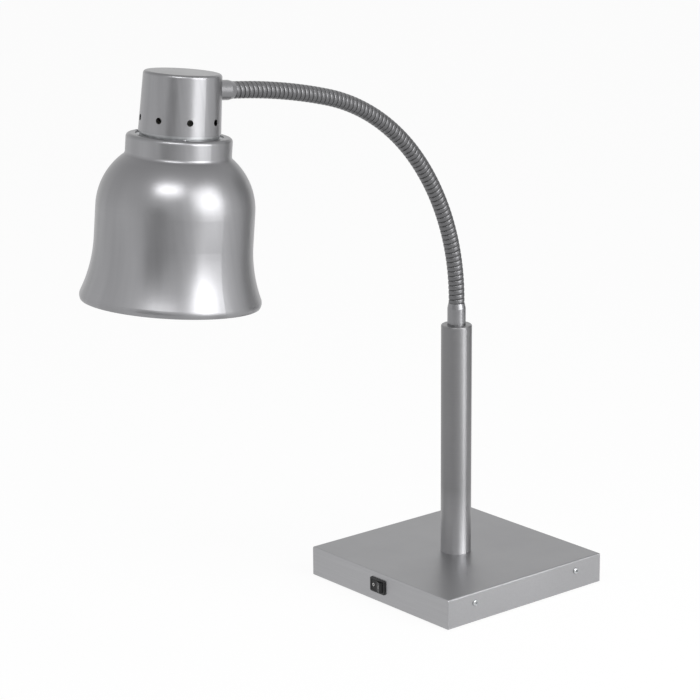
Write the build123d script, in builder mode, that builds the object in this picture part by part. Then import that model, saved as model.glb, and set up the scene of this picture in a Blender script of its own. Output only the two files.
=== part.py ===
from build123d import *
import os
from math import acos, asin, atan2, cos, degrees, radians, sin, sqrt, tan

# Food warming lamp: a square weighted base, a round pole, a flexible ribbed neck and a bell shade
# with a reflector bulb. Millimetres, +Z up. The origin is the centre of the base's underside, the
# switch is in the -Y wall, and the neck bends forward over it, in the plane X = 0.

os.makedirs("parts", exist_ok=True)

# Driving dimensions of the base
base_side = 215.0
base_top = 33.0
sheet = 1.5
fold_radius = 1.5
corner_radius = 1.0
pad_thickness = 2.0
pad_inset = 5.0
pad_corner = 6.0
plate_clearance = 0.3
flange_height = 25.0
flange_end_margin = 17.5
ballast_side_margin = 22.5
ballast_rear_margin = 37.5
ballast_thickness = 14.0
lead_slot_width = 16.0
stiffener_side = 70.0
stiffener_thickness = 3.0

# Driving dimensions of the fasteners in the base
side_screw_height = 22.0
side_screw_inset = 36.5
side_screw_radius = 1.5
side_screw_head_radius = 3.4
side_screw_head_height = 1.9
side_screw_length = 10.0
side_nut_radius = 3.4
side_nut_shank_radius = 2.4
side_nut_length = 4.0
ballast_screw_radius = 2.5
ballast_screw_head_radius = 4.2
ballast_screw_head_height = 3.0
ballast_screw_inset_x = 20.0
ballast_screw_inset_y = 15.0
screw_play = 0.2
thread_play = 0.05
earth_screw_x = 45.0
earth_screw_to_wall = 19.5
earth_screw_radius = 2.0
screw_overhang = 1.0

# Shape of a round screw head, as shares of its radius and its height
head_rim_height = 0.3
head_bulge_radius = 0.88
head_bulge_height = 0.8
head_flat_radius = 0.6
recess_radius = 0.5
recess_depth = 0.6

# Driving dimensions of the pole and of the stud that holds it
pole_radius = 16.0
pole_wall = 1.5
pole_top = 279.0
pole_cap_thickness = 3.0
pole_cap_edge = 1.5
pole_cap_spigot = 12.0
pole_plug_height = 14.0
fit_play = 0.05
stud_radius = 5.0
lead_bore = 4.0
stud_nut_flats = 17.0
stud_nut_thickness = 5.0
stud_washer_radius = 10.0
stud_washer_thickness = 1.5
stud_overhang = 2.0

# Driving dimensions of the neck: arcs of (radius, turn), then straight into the head. A rib's
# groove and crest are shares of its pitch.
neck_arcs = [(248.0, 40.0), (219.0, 35.0)]
last_arc_radius = 624.0
head_tilt = 5.6
bend_above_ferrule = 2.0
rib_pitch = 5.1875
rib_groove = 0.1
rib_crest_from = 0.35
rib_crest_to = 0.65
rib_crest_radius = 8.2
rib_root_radius = 6.9
end_rib_count = 5
link_rib_count = 12
link_count = 6
ball_radius = 5.4
ball_reach = 3.0
ball_play = 0.3
link_end_gap = 1.15
lead_radius = 2.8
lead_end_gap = 0.8
lead_stations = 7
saddle = 4.0

# Driving dimensions of the two ferrules
ferrule_radius = 9.5
ferrule_taper = 5.5
ferrule_mouth_radius = 8.3
ferrule_height = 23.0
ferrule_sleeve = 16.0
ferrule_thread = 12.0
head_axis_from_ribs = 57.625
ferrule_nut_flats = 14.0
ferrule_nut_thickness = 4.0

# Driving dimensions of the cap and of what it holds
neck_depth = 17.5
cap_top_radius = 36.4
cap_bottom_radius = 38.4
cap_depth = 55.5
cap_wall = 1.0
cap_edge = 3.0
vent_count = 8
vent_radius = 3.0
vent_above_edge = 12.6
bracket_thickness = 2.0
bracket_width = 12.0
bracket_side_play = 0.9
bracket_headroom = 4.0
bracket_foot = 9.0
ring_width = 19.6
ring_thickness = 2.0
spigot_radius = 37.0
spigot_wall = 1.0
spigot_height = 9.0
ring_inside_radius = 26.0
ring_screw_circle = 30.0
ring_vent_circle = 31.5
ring_vent_radius = 2.5

# Driving dimensions of the bell shade
bell_wall = 1.2
cap_to_lip = 2.7
lip_clearance = 2.6
lip_width = 4.7
collar_edge = 3.8
collar_fillet = 4.0
shoulder_step = 24.7
shoulder_radius = 62.0
shoulder_drop = 68.8
body_height = 29.5
flare_radius = 134.0
hem_flare = 11.0
hem_roll = 8.0
hem_curl = 30.0
rivet_count = 3
rivet_radius = 0.9
rivet_head_radius = 1.6
rivet_head_height = 0.7

# Driving dimensions of the lamp holder and the bulb
holder_radius = 20.0
holder_skirt_radius = 22.5
holder_height = 49.0
holder_shoulder = 24.0
holder_bore_radius = 14.3
holder_floor = 18.0
holder_screw_spacing = 22.0
holder_screw_length = 10.0
screw_hole_spare = 1.0
contact_radius = 4.0
contact_height = 4.0
contact_stem_radius = 2.0
contact_stem_gap = 0.5
thread_mean_radius = 12.65
thread_depth = 0.5
thread_pitch = 3.6
thread_turns = 6
shell_play = 0.3
shell_wall = 0.4
terminal_angle = 35.0
terminal_depth = 6.0
terminal_head_radius = 2.6
terminal_head_height = 2.2
terminal_screw_length = 9.0
bulb_tip_gap = 0.3
bulb_length = 173.0
bulb_radius = 62.5
bulb_neck_radius = 20.0
bulb_skirt_radius = 16.0
bulb_glass_wall = 1.0
bulb_base_length = 27.0
bulb_skirt_length = 9.0
bulb_skirt_gap = 1.5
bulb_face_rise = 25.0
bulb_side_height = 22.0
bulb_cone_length = 54.0
bulb_pip_radius = 4.5
bulb_pip_height = 1.5
insulator_height = 3.0
base_wall = 0.4
stem_radius = 6.0
stem_height = 48.0
filament_circle = 18.0
filament_wire = 0.6
filament_coil_radius = 0.9
support_overlap = 1.0
bulb_bends = [4.0, 6.0, 20.0, 30.0]
head_wire_bend = 1.5

# Driving dimensions of the switch and its rocker
switch_height = 19.0
bezel_width = 23.0
bezel_height = 15.5
bezel_thickness = 1.8
bezel_corner = 2.0
bezel_edge = 0.6
switch_body_width = 19.4
switch_body_height = 13.0
switch_body_depth = 16.0
switch_play = 0.15
rocker_reach = 8.6
rocker_below_pivot = 4.0
rocker_thickness = 10.7
rocker_play = 0.35
rocker_angle = 11.0
rocker_pivot_depth = 1.0
trunnion_radius = 1.2
trunnion_length = 0.85
trunnion_play = 0.05
blade_width = 4.8
blade_thickness = 0.8
blade_overhang = 8.0
blade_spacing = 10.0
blade_cover = 1.0

# Driving dimensions of the cable gland in the rear wall
gland_x = 60.0
gland_height = 18.0
gland_thread_radius = 6.0
gland_hex_flats = 15.0
gland_hex_thickness = 4.0
gland_dome_radius = 7.0
gland_dome_length = 9.0
gland_inside_length = 8.0
gland_seal_radius = 5.0
gland_seal_recess = 0.5
gland_rim = 0.5
gland_nut_thickness = 3.0
mains_lead_radius = 3.6

# Driving dimensions of the terminal block and the wires in the base
block_length = 30.0
block_width = 17.0
block_height = 12.0
block_to_wall = 10.5
pole_pitch = 9.0
block_bore = 2.0
block_wire_height = 6.0
block_screw_radius = 1.5
block_screw_head = 2.5
clamp_screw_radius = 1.4
clamp_screw_head = 1.9
wire_radius = 0.85
wire_spacing = 1.75
wire_offset = 1.0
wire_bend = 4.0
stand_lead_bend = 13.0
strip_length = 22.0
switch_wire_height = 22.0
blade_gap = 1.0

# Places and levels in the base, worked out from the sizes above
half_base = base_side / 2
ballast_length = base_side - 2 * ballast_side_margin
ballast_width = base_side - 2 * ballast_rear_margin
flange_length = base_side - 2 * flange_end_margin
side_screw_spacing = base_side - 2 * side_screw_inset
ballast_screw_spacing_x = ballast_length - 2 * ballast_screw_inset_x
ballast_screw_spacing_y = ballast_width - 2 * ballast_screw_inset_y
earth_screw_y = half_base - earth_screw_to_wall
block_start_y = half_base - block_to_wall - block_width
block_middle_y = block_start_y + block_width / 2
stripped_from_y = block_start_y - strip_length
inner_half = half_base - sheet
housing_bottom = pad_thickness
plate_top = pad_thickness + sheet
ballast_top = plate_top + ballast_thickness
ceiling = base_top - sheet
stiffener_bottom = ceiling - stiffener_thickness
washer_bottom = stiffener_bottom - stud_washer_thickness
nut_bottom = washer_bottom - stud_nut_thickness
pole_bore = pole_radius - pole_wall
ferrule_top = pole_top + ferrule_height
bend_start = ferrule_top + bend_above_ferrule


# The neck's centre line: straight up, tangent arcs forward, then straight into the head
last_turn = 90 - head_tilt - sum(turn for radius, turn in neck_arcs)
all_arcs = neck_arcs + [(last_arc_radius, last_turn)]


def neck_frame(distance):
    """Plane square to the neck's centre line, a distance along it from where the bend starts."""
    reach = 0.0
    height = bend_start + min(distance, 0.0)
    heading = radians(90)
    left = max(distance, 0.0)
    for radius, turn in all_arcs:
        step = min(left, radius * radians(turn))
        after = heading - step / radius
        reach += radius * (sin(heading) - sin(after))
        height += radius * (cos(after) - cos(heading))
        heading = after
        left -= step
    reach += left * cos(heading)
    height += left * sin(heading)
    return Plane(origin=(0, -reach, height), x_dir=(1, 0, 0), z_dir=(0, -cos(heading), sin(heading)))


def section_of(seat):
    """Plane through a seat's axis: across the seat, and up along its normal."""
    return Plane(origin=seat.origin, x_dir=seat.x_dir, z_dir=-seat.y_dir)


def screw(seat, head_radius, head_height, shank_radius, shank_length):
    """A round-headed screw whose head stands on the seat, with a hexagon recess."""
    with BuildPart() as piece:
        with BuildSketch(section_of(seat)):
            with BuildLine():
                rim = (head_radius, head_rim_height * head_height)
                bulge = (head_bulge_radius * head_radius, head_bulge_height * head_height)
                flat = (head_flat_radius * head_radius, head_height)
                tip = (shank_radius, -shank_length)
                Polyline(flat, (0, head_height), (0, -shank_length), tip)
                Polyline(tip, (shank_radius, 0), (head_radius, 0), rim)
                ThreePointArc(rim, bulge, flat)
            make_face()
        revolve(axis=Axis(seat.origin, seat.z_dir))
        with BuildSketch(seat.offset(head_height)):
            RegularPolygon(recess_radius * head_radius, 6)
        extrude(amount=-recess_depth * head_height, mode=Mode.SUBTRACT)
    return piece.part


def small_screw(seat, length):
    """The small screw used in the base's sides and in the head."""
    return screw(seat, side_screw_head_radius, side_screw_head_height, side_screw_radius, length)


def wire(points, bend, radius):
    """A round wire along straight runs joined by tangent arcs."""
    with BuildPart() as piece:
        with BuildLine():
            route = FilletPolyline(*points, radius=bend)
        with BuildSketch(Plane(origin=route @ 0, z_dir=route % 0)):
            Circle(radius)
        sweep(path=route)
    return piece.part


def round_run(circles):
    """A ruled loft through circles square to the neck, given as (distance, radius)."""
    with BuildPart() as piece:
        for distance, radius in circles:
            with BuildSketch(neck_frame(distance)):
                Circle(radius)
        loft(ruled=True)
    return piece.part


def even_steps(first, last, count):
    """Evenly spaced distances from first to last."""
    return [first + (last - first) * step / (count - 1) for step in range(count)]


rib_start = -bend_above_ferrule
groove_half = rib_groove * rib_pitch
pivots = [rib_start + (end_rib_count + link_rib_count * k) * rib_pitch for k in range(link_count + 1)]
rib_end = pivots[-1] + end_rib_count * rib_pitch
head_axis_distance = rib_end + head_axis_from_ribs


def rib_circles(first, count, gap_before, gap_after):
    """Circles of a run of ribs: four to a rib, with the grooves at the run's ends set back."""
    circles = []
    for rib in range(count):
        foot = first + rib * rib_pitch
        rise = gap_before if rib == 0 else groove_half
        fall = gap_after if rib == count - 1 else groove_half
        circles.append((foot + rise, rib_root_radius))
        circles.append((foot + rib_crest_from * rib_pitch, rib_crest_radius))
        circles.append((foot + rib_crest_to * rib_pitch, rib_crest_radius))
        circles.append((foot + rib_pitch - fall, rib_root_radius))
    return circles


def ball(pivot):
    """The truncated ball of a neck piece, about its pivot."""
    with BuildPart(neck_frame(pivot)) as piece:
        Sphere(ball_radius, arc_size1=-degrees(asin(ball_reach / ball_radius)), align=None)
    return piece.part


def ball_cup(pivot):
    """The space that the next piece's ball turns in."""
    with BuildPart(neck_frame(pivot)) as piece:
        Sphere(ball_radius + ball_play)
    return piece.part


# The head's own frame: origin at the middle of the cap's top, Z up its axis, Y back to the stand
axis_frame = neck_frame(head_axis_distance)
head_up = axis_frame.y_dir
head = Plane(origin=axis_frame.origin + head_up * neck_depth, x_dir=(1, 0, 0), z_dir=head_up)
head_axis = Axis(head.origin, head.z_dir)
head_section = section_of(head)
arm_section = Plane(origin=head.origin, x_dir=head.y_dir, z_dir=(1, 0, 0))
vent_depth = cap_depth - vent_above_edge
cap_slope = (cap_bottom_radius - cap_top_radius) / cap_depth


def in_head(across, back, depth):
    """Point in the head's frame: across, back towards the stand, and below the cap's top."""
    return head.origin + head.x_dir * across + head.y_dir * back - head.z_dir * depth


def cap_radius(depth):
    """Outer radius of the tapered cap, a depth below its top."""
    return cap_top_radius + cap_slope * depth


# Levels in the head, as depths below the cap's top
lip_depth = cap_depth + cap_to_lip
ring_depth = lip_depth + bell_wall
mouth_radius = cap_bottom_radius + lip_clearance
collar_radius = mouth_radius + lip_width + collar_edge
body_radius = collar_radius + shoulder_step
hem_radius = body_radius + hem_flare
shoulder_depth = lip_depth + shoulder_drop
flare_depth = shoulder_depth + body_height
flare_turn = acos(1 - hem_flare / (flare_radius + hem_roll))
hem_middle = flare_depth + (flare_radius + hem_roll) * sin(flare_turn)
bell_depth = hem_middle + hem_roll * sin(radians(hem_curl))
bracket_top = cap_wall + bracket_headroom
holder_top = bracket_top + bracket_thickness
holder_mouth = holder_top + holder_height
socket_floor = holder_top + holder_floor
bulb_tip = socket_floor + contact_height + bulb_tip_gap
bulb_face = bulb_tip + bulb_length
bracket_reach = cap_top_radius - cap_wall - bracket_side_play
ring_radius = ring_inside_radius + ring_width

# Base: the folded housing, with its hem lifted off the table by the pad
with BuildPart() as base_housing:
    with BuildSketch(Plane.XY.offset(housing_bottom)):
        Rectangle(base_side, base_side)
    extrude(amount=base_top - housing_bottom)
    fillet(base_housing.edges().filter_by(Axis.Z), corner_radius)
    fillet(base_housing.faces().sort_by(Axis.Z)[-1].edges(), fold_radius)
    with BuildSketch(Plane.XY.offset(housing_bottom)):
        Rectangle(2 * inner_half, 2 * inner_half)
    extrude(amount=ceiling - housing_bottom, mode=Mode.SUBTRACT)
    with Locations((0, 0, base_top)):
        Hole(stud_radius + screw_play, depth=2 * sheet)
    with Locations((0, -half_base, switch_height)):
        cutout_width = switch_body_width + 2 * switch_play
        cutout_height = switch_body_height + 2 * switch_play
        Box(cutout_width, 4 * sheet, cutout_height, mode=Mode.SUBTRACT)
    with Locations(Location((gland_x, half_base, gland_height), (90, 0, 0))):
        Cylinder(gland_thread_radius + screw_play, 4 * sheet, mode=Mode.SUBTRACT)
    with Locations(Location((0, 0, side_screw_height), (0, 90, 0))):
        with GridLocations(1, side_screw_spacing, 1, 2):
            Cylinder(side_screw_radius + screw_play, 2 * base_side, mode=Mode.SUBTRACT)
base_housing.part.label = "base_housing"
export_step(base_housing.part, "parts/base_housing.step")

# Base: the bottom plate, a tray with a flange up each side for the screws
plate_half = inner_half - plate_clearance
ballast_screw_places = GridLocations(ballast_screw_spacing_x, ballast_screw_spacing_y, 2, 2)
with BuildPart() as bottom_plate:
    with BuildSketch(Plane.XY.offset(housing_bottom)):
        Rectangle(2 * plate_half, 2 * plate_half)
    extrude(amount=sheet)
    with BuildSketch(Plane.XY.offset(housing_bottom)):
        with Locations((plate_half - sheet / 2, 0), (sheet / 2 - plate_half, 0)):
            Rectangle(sheet, flange_length)
    extrude(amount=flange_height)
    with Locations(Location((0, 0, side_screw_height), (0, 90, 0))):
        with GridLocations(1, side_screw_spacing, 1, 2):
            Cylinder(side_nut_shank_radius + thread_play, 2 * base_side, mode=Mode.SUBTRACT)
    with Locations((0, 0, plate_top)):
        with GridLocations(ballast_screw_spacing_x, ballast_screw_spacing_y, 2, 2):
            Hole(ballast_screw_radius + thread_play, depth=2 * sheet)
    with Locations((0, block_middle_y, plate_top)):
        with GridLocations(pole_pitch, 1, 2, 1):
            Hole(block_screw_radius + thread_play, depth=2 * sheet)
    with Locations((earth_screw_x, earth_screw_y, plate_top)):
        Hole(earth_screw_radius + thread_play, depth=2 * sheet)
bottom_plate.part.label = "bottom_plate"
export_step(bottom_plate.part, "parts/bottom_plate.step")

# Base: the rubber pad that the lamp stands on
with BuildPart() as anti_slip_pad:
    with BuildSketch():
        RectangleRounded(base_side - 2 * pad_inset, base_side - 2 * pad_inset, pad_corner)
    extrude(amount=pad_thickness)
anti_slip_pad.part.label = "anti_slip_pad"
export_step(anti_slip_pad.part, "parts/anti_slip_pad.step")

# Base: the ballast, slotted from its middle to its rear edge for the lead
with BuildPart() as ballast_plate:
    with BuildSketch(Plane.XY.offset(plate_top)):
        Rectangle(ballast_length, ballast_width)
        with Locations((0, ballast_width / 4)):
            Rectangle(lead_slot_width, ballast_width / 2, mode=Mode.SUBTRACT)
        Circle(lead_slot_width / 2, mode=Mode.SUBTRACT)
    extrude(amount=ballast_thickness)
    with Locations((0, 0, ballast_top)):
        with GridLocations(ballast_screw_spacing_x, ballast_screw_spacing_y, 2, 2):
            CounterBoreHole(
                ballast_screw_radius + screw_play,
                ballast_screw_head_radius + screw_play,
                ballast_screw_head_height + screw_play,
            )
ballast_plate.part.label = "ballast_plate"
export_step(ballast_plate.part, "parts/ballast_plate.step")

# Base: four screws from the ballast's counterbores into the bottom plate
ballast_seat = ballast_top - ballast_screw_head_height - screw_play
with BuildPart() as ballast_screws:
    for place in ballast_screw_places:
        seat = Plane(origin=(place.position.X, place.position.Y, ballast_seat))
        add(
            screw(
                seat,
                ballast_screw_head_radius,
                ballast_screw_head_height,
                ballast_screw_radius,
                ballast_seat - housing_bottom,
            )
        )
ballast_screws.part.label = "ballast_screws"
export_step(ballast_screws.part, "parts/ballast_screws.step")

# Base: the side screws and the clinch nuts that they turn into
side_seats = []
for side in (1, -1):
    for along in (1, -1):
        place = (side * half_base, along * side_screw_spacing / 2, side_screw_height)
        side_seats.append(Plane(origin=place, x_dir=(0, 1, 0), z_dir=(side, 0, 0)))
with BuildPart() as side_screws:
    for seat in side_seats:
        add(small_screw(seat, side_screw_length))
side_screws.part.label = "side_screws"
export_step(side_screws.part, "parts/side_screws.step")

nut_face = half_base - plate_half + sheet
with BuildPart() as side_nuts:
    for seat in side_seats:
        with BuildSketch(seat.offset(-nut_face)):
            Circle(side_nut_radius)
            Circle(side_screw_radius + thread_play, mode=Mode.SUBTRACT)
        extrude(amount=-side_nut_length)
        with BuildSketch(seat.offset(-nut_face)):
            Circle(side_nut_shank_radius)
            Circle(side_screw_radius + thread_play, mode=Mode.SUBTRACT)
        extrude(amount=sheet)
side_nuts.part.label = "side_nuts"
export_step(side_nuts.part, "parts/side_nuts.step")

# Base: the stiffener welded under the top, and the stud, washer and nut that hold the pole
with BuildPart() as stiffener_plate:
    with BuildSketch(Plane.XY.offset(stiffener_bottom)):
        Rectangle(stiffener_side, stiffener_side)
        Circle(stud_radius + screw_play, mode=Mode.SUBTRACT)
    extrude(amount=stiffener_thickness)
stiffener_plate.part.label = "stiffener_plate"
export_step(stiffener_plate.part, "parts/stiffener_plate.step")

with BuildPart() as stud_washer:
    with BuildSketch(Plane.XY.offset(washer_bottom)):
        Circle(stud_washer_radius)
        Circle(stud_radius + screw_play, mode=Mode.SUBTRACT)
    extrude(amount=stud_washer_thickness)
stud_washer.part.label = "stud_washer"
export_step(stud_washer.part, "parts/stud_washer.step")

with BuildPart() as stud_nut:
    with BuildSketch(Plane.XY.offset(nut_bottom)):
        RegularPolygon(stud_nut_flats / 2, 6, major_radius=False)
        Circle(stud_radius + thread_play, mode=Mode.SUBTRACT)
    extrude(amount=stud_nut_thickness)
stud_nut.part.label = "stud_nut"
export_step(stud_nut.part, "parts/stud_nut.step")

stud_bottom = nut_bottom - stud_overhang
with BuildPart() as hollow_stud:
    with BuildSketch(Plane.XY.offset(stud_bottom)):
        Circle(stud_radius)
        Circle(lead_bore, mode=Mode.SUBTRACT)
    extrude(amount=base_top + pole_plug_height - stud_bottom)
hollow_stud.part.label = "hollow_stud"
export_step(hollow_stud.part, "parts/hollow_stud.step")

# Pole: the plug in its foot, the tube and the cap
with BuildPart() as pole_plug:
    with BuildSketch(Plane.XY.offset(base_top)):
        Circle(pole_bore - fit_play)
        Circle(stud_radius + thread_play, mode=Mode.SUBTRACT)
    extrude(amount=pole_plug_height)
pole_plug.part.label = "pole_plug"
export_step(pole_plug.part, "parts/pole_plug.step")

tube_top = pole_top - pole_cap_thickness
with BuildPart() as pole_tube:
    with BuildSketch(Plane.XY.offset(base_top)):
        Circle(pole_radius)
        Circle(pole_bore, mode=Mode.SUBTRACT)
    extrude(amount=tube_top - base_top)
pole_tube.part.label = "pole_tube"
export_step(pole_tube.part, "parts/pole_tube.step")

with BuildPart() as pole_cap:
    with BuildSketch(Plane.XY.offset(tube_top)):
        Circle(pole_radius)
    extrude(amount=pole_cap_thickness)
    fillet(pole_cap.faces().sort_by(Axis.Z)[-1].edges(), pole_cap_edge)
    with BuildSketch(Plane.XY.offset(tube_top)):
        Circle(pole_bore - fit_play)
    extrude(amount=-pole_cap_spigot)
    with Locations((0, 0, pole_top)):
        Hole(stud_radius + thread_play)
pole_cap.part.label = "pole_cap"
export_step(pole_cap.part, "parts/pole_cap.step")


def ferrule_barrel(mouth, towards, height):
    """A ferrule's barrel, from its tapered mouth on the neck to its foot."""
    with BuildPart() as piece:
        with BuildSketch(Plane(origin=mouth, x_dir=towards, z_dir=(1, 0, 0))):
            Polygon(
                (0, 0),
                (0, ferrule_mouth_radius),
                (ferrule_taper, ferrule_radius),
                (height, ferrule_radius),
                (height, 0),
                align=None,
            )
        revolve(axis=Axis(mouth, towards))
    return piece.part


# Pole: the lower ferrule, screwed into the pole's cap, with the neck's end crimped in its sleeve
sleeve_radius = rib_root_radius + 2 * fit_play
with BuildPart() as lower_ferrule:
    add(ferrule_barrel(Vector(0, 0, ferrule_top), Vector(0, 0, -1), ferrule_height))
    with BuildSketch(Plane.XY.offset(pole_top)):
        Circle(stud_radius)
    extrude(amount=-ferrule_thread)
    with BuildSketch(Plane.XY.offset(ferrule_top)):
        Circle(sleeve_radius)
    extrude(amount=-ferrule_sleeve, mode=Mode.SUBTRACT)
    with Locations((0, 0, ferrule_top)):
        Hole(lead_bore)
lower_ferrule.part.label = "lower_ferrule"
export_step(lower_ferrule.part, "parts/lower_ferrule.step")

# Neck: its lower end, fixed in the ferrule
sleeve_start = rib_start - ferrule_sleeve + fit_play
with BuildPart() as neck_lower_end:
    ribs = rib_circles(rib_start, end_rib_count, groove_half, link_end_gap)
    add(round_run([(sleeve_start, rib_root_radius)] + ribs))
    bore = [sleeve_start] + even_steps(0, pivots[0], lead_stations)
    add(round_run([(distance, lead_bore) for distance in bore]), mode=Mode.SUBTRACT)
    add(ball_cup(pivots[0]), mode=Mode.SUBTRACT)
neck_lower_end.part.label = "neck_lower_end"
export_step(neck_lower_end.part, "parts/neck_lower_end.step")

# Neck: the links, each with a ball at its lower end, a cup at its upper end, a bore, and a
# saddle half way along it that the lead lies in
for number, (lower, upper) in enumerate(zip(pivots[:-1], pivots[1:]), start=1):
    with BuildPart() as neck_link:
        add(round_run(rib_circles(lower, link_rib_count, link_end_gap, link_end_gap)))
        add(ball(lower))
        middle = (lower + upper) / 2
        before = even_steps(lower - ball_radius, middle - saddle, lead_stations)
        beyond = even_steps(middle + saddle, upper, lead_stations)
        bore = [(distance, lead_bore) for distance in before]
        bore += [(middle + side * saddle / 2, lead_radius + fit_play) for side in (-1, 1)]
        bore += [(distance, lead_bore) for distance in beyond]
        add(round_run(bore), mode=Mode.SUBTRACT)
        add(ball_cup(upper), mode=Mode.SUBTRACT)
    neck_link.part.label = f"neck_link_{number}"
    export_step(neck_link.part, f"parts/neck_link_{number}.step")

    with BuildPart() as lead_link:
        stations = even_steps(lower + lead_end_gap, upper - lead_end_gap, lead_stations)
        add(round_run([(distance, lead_radius) for distance in stations]))
    lead_link.part.label = f"lead_link_{number}"
    export_step(lead_link.part, f"parts/lead_link_{number}.step")

# Neck: its upper end, fixed in the head's ferrule
sleeve_end = rib_end + ferrule_sleeve - fit_play
with BuildPart() as neck_upper_end:
    ribs = rib_circles(pivots[-1], end_rib_count, link_end_gap, groove_half)
    add(round_run(ribs + [(sleeve_end, rib_root_radius)]))
    add(ball(pivots[-1]))
    bore = even_steps(pivots[-1] - ball_radius, rib_end, lead_stations) + [sleeve_end]
    add(round_run([(distance, lead_bore) for distance in bore]), mode=Mode.SUBTRACT)
neck_upper_end.part.label = "neck_upper_end"
export_step(neck_upper_end.part, "parts/neck_upper_end.step")

# Head: the upper ferrule, its foot cut to the cap's round, its thread reaching inside
bracket_inside = bracket_reach - bracket_thickness
thread_end = bracket_inside - ferrule_nut_thickness - stud_overhang
with BuildPart() as upper_ferrule:
    add(ferrule_barrel(neck_frame(rib_end).origin, axis_frame.z_dir, head_axis_from_ribs))
    with BuildSketch(head_section):
        seat_top = cap_radius(-ferrule_radius) + fit_play
        seat_low = cap_radius(cap_depth) + fit_play
        Polygon(
            (0, ferrule_radius),
            (seat_top, ferrule_radius),
            (seat_low, -cap_depth),
            (0, -cap_depth),
            align=None,
        )
    revolve(axis=head_axis, mode=Mode.SUBTRACT)
    with BuildSketch(neck_frame(head_axis_distance - cap_bottom_radius)):
        Circle(stud_radius)
    extrude(amount=cap_bottom_radius - thread_end)
    with BuildSketch(neck_frame(rib_end)):
        Circle(sleeve_radius)
    extrude(amount=ferrule_sleeve, mode=Mode.SUBTRACT)
    with BuildSketch(neck_frame(rib_end)):
        Circle(lead_bore)
    extrude(amount=head_axis_from_ribs, mode=Mode.SUBTRACT)
upper_ferrule.part.label = "upper_ferrule"
export_step(upper_ferrule.part, "parts/upper_ferrule.step")

with BuildPart() as ferrule_nut:
    with BuildSketch(neck_frame(head_axis_distance - bracket_inside)):
        RegularPolygon(ferrule_nut_flats / 2, 6, major_radius=False)
        Circle(stud_radius + thread_play, mode=Mode.SUBTRACT)
    extrude(amount=ferrule_nut_thickness)
ferrule_nut.part.label = "ferrule_nut"
export_step(ferrule_nut.part, "parts/ferrule_nut.step")

# Head: the cap, with its ring of vents and the hole for the ferrule's thread
with BuildPart() as cap:
    with BuildSketch(head_section):
        with BuildLine():
            outside = FilletPolyline(
                (0, 0),
                (cap_top_radius, 0),
                (cap_bottom_radius, -cap_depth),
                radius=cap_edge,
            )
            inside = FilletPolyline(
                (0, -cap_wall),
                (cap_top_radius - cap_wall, -cap_wall),
                (cap_bottom_radius - cap_wall, -cap_depth),
                radius=cap_edge - cap_wall,
            )
            Line(outside @ 0, inside @ 0)
            Line(outside @ 1, inside @ 1)
        make_face()
    revolve(axis=head_axis)
    with Locations(head.offset(-vent_depth)):
        with PolarLocations(0, vent_count, start_angle=180 / vent_count):
            Cylinder(
                vent_radius,
                2 * cap_bottom_radius,
                rotation=(0, 90, 0),
                align=(Align.CENTER, Align.CENTER, Align.MIN),
                mode=Mode.SUBTRACT,
            )
    with BuildSketch(neck_frame(head_axis_distance - cap_bottom_radius)):
        Circle(stud_radius + screw_play)
    extrude(amount=cap_bottom_radius / 2, mode=Mode.SUBTRACT)
cap.part.label = "cap"
export_step(cap.part, "parts/cap.step")

# Head: the bracket, a strap over the holder with a foot at each side on the shade ring
with BuildPart() as holder_bracket:
    with BuildSketch(arm_section):
        with BuildLine():
            far_side = -bracket_reach
            low = -ring_depth
            t = bracket_thickness
            Polyline(
                (bracket_reach - bracket_foot, low),
                (bracket_reach, low),
                (bracket_reach, -bracket_top),
                (far_side, -bracket_top),
                (far_side, low),
                (far_side + bracket_foot, low),
                (far_side + bracket_foot, low + t),
                (far_side + t, low + t),
                (far_side + t, -holder_top),
                (bracket_reach - t, -holder_top),
                (bracket_reach - t, low + t),
                (bracket_reach - bracket_foot, low + t),
                close=True,
            )
        make_face()
    extrude(amount=bracket_width / 2, both=True)
    with BuildSketch(neck_frame(head_axis_distance - bracket_reach)):
        Circle(stud_radius + screw_play)
    extrude(amount=2 * bracket_thickness, mode=Mode.SUBTRACT)
    with BuildSketch(head.offset(-bracket_top)):
        with GridLocations(holder_screw_spacing, holder_screw_spacing, 1, 2):
            Circle(side_screw_radius + screw_play)
    extrude(amount=-bracket_thickness, mode=Mode.SUBTRACT)
    with BuildSketch(head.offset(-ring_depth)):
        with PolarLocations(ring_screw_circle, 2, start_angle=90):
            Circle(side_screw_radius + thread_play)
    extrude(amount=bracket_thickness, mode=Mode.SUBTRACT)
holder_bracket.part.label = "holder_bracket"
export_step(holder_bracket.part, "parts/holder_bracket.step")

with BuildPart() as holder_screws:
    for side in (1, -1):
        centre = in_head(0, side * holder_screw_spacing / 2, bracket_top)
        seat = Plane(origin=centre, x_dir=head.x_dir, z_dir=head.z_dir)
        add(small_screw(seat, holder_screw_length))
holder_screws.part.label = "holder_screws"
export_step(holder_screws.part, "parts/holder_screws.step")

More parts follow.
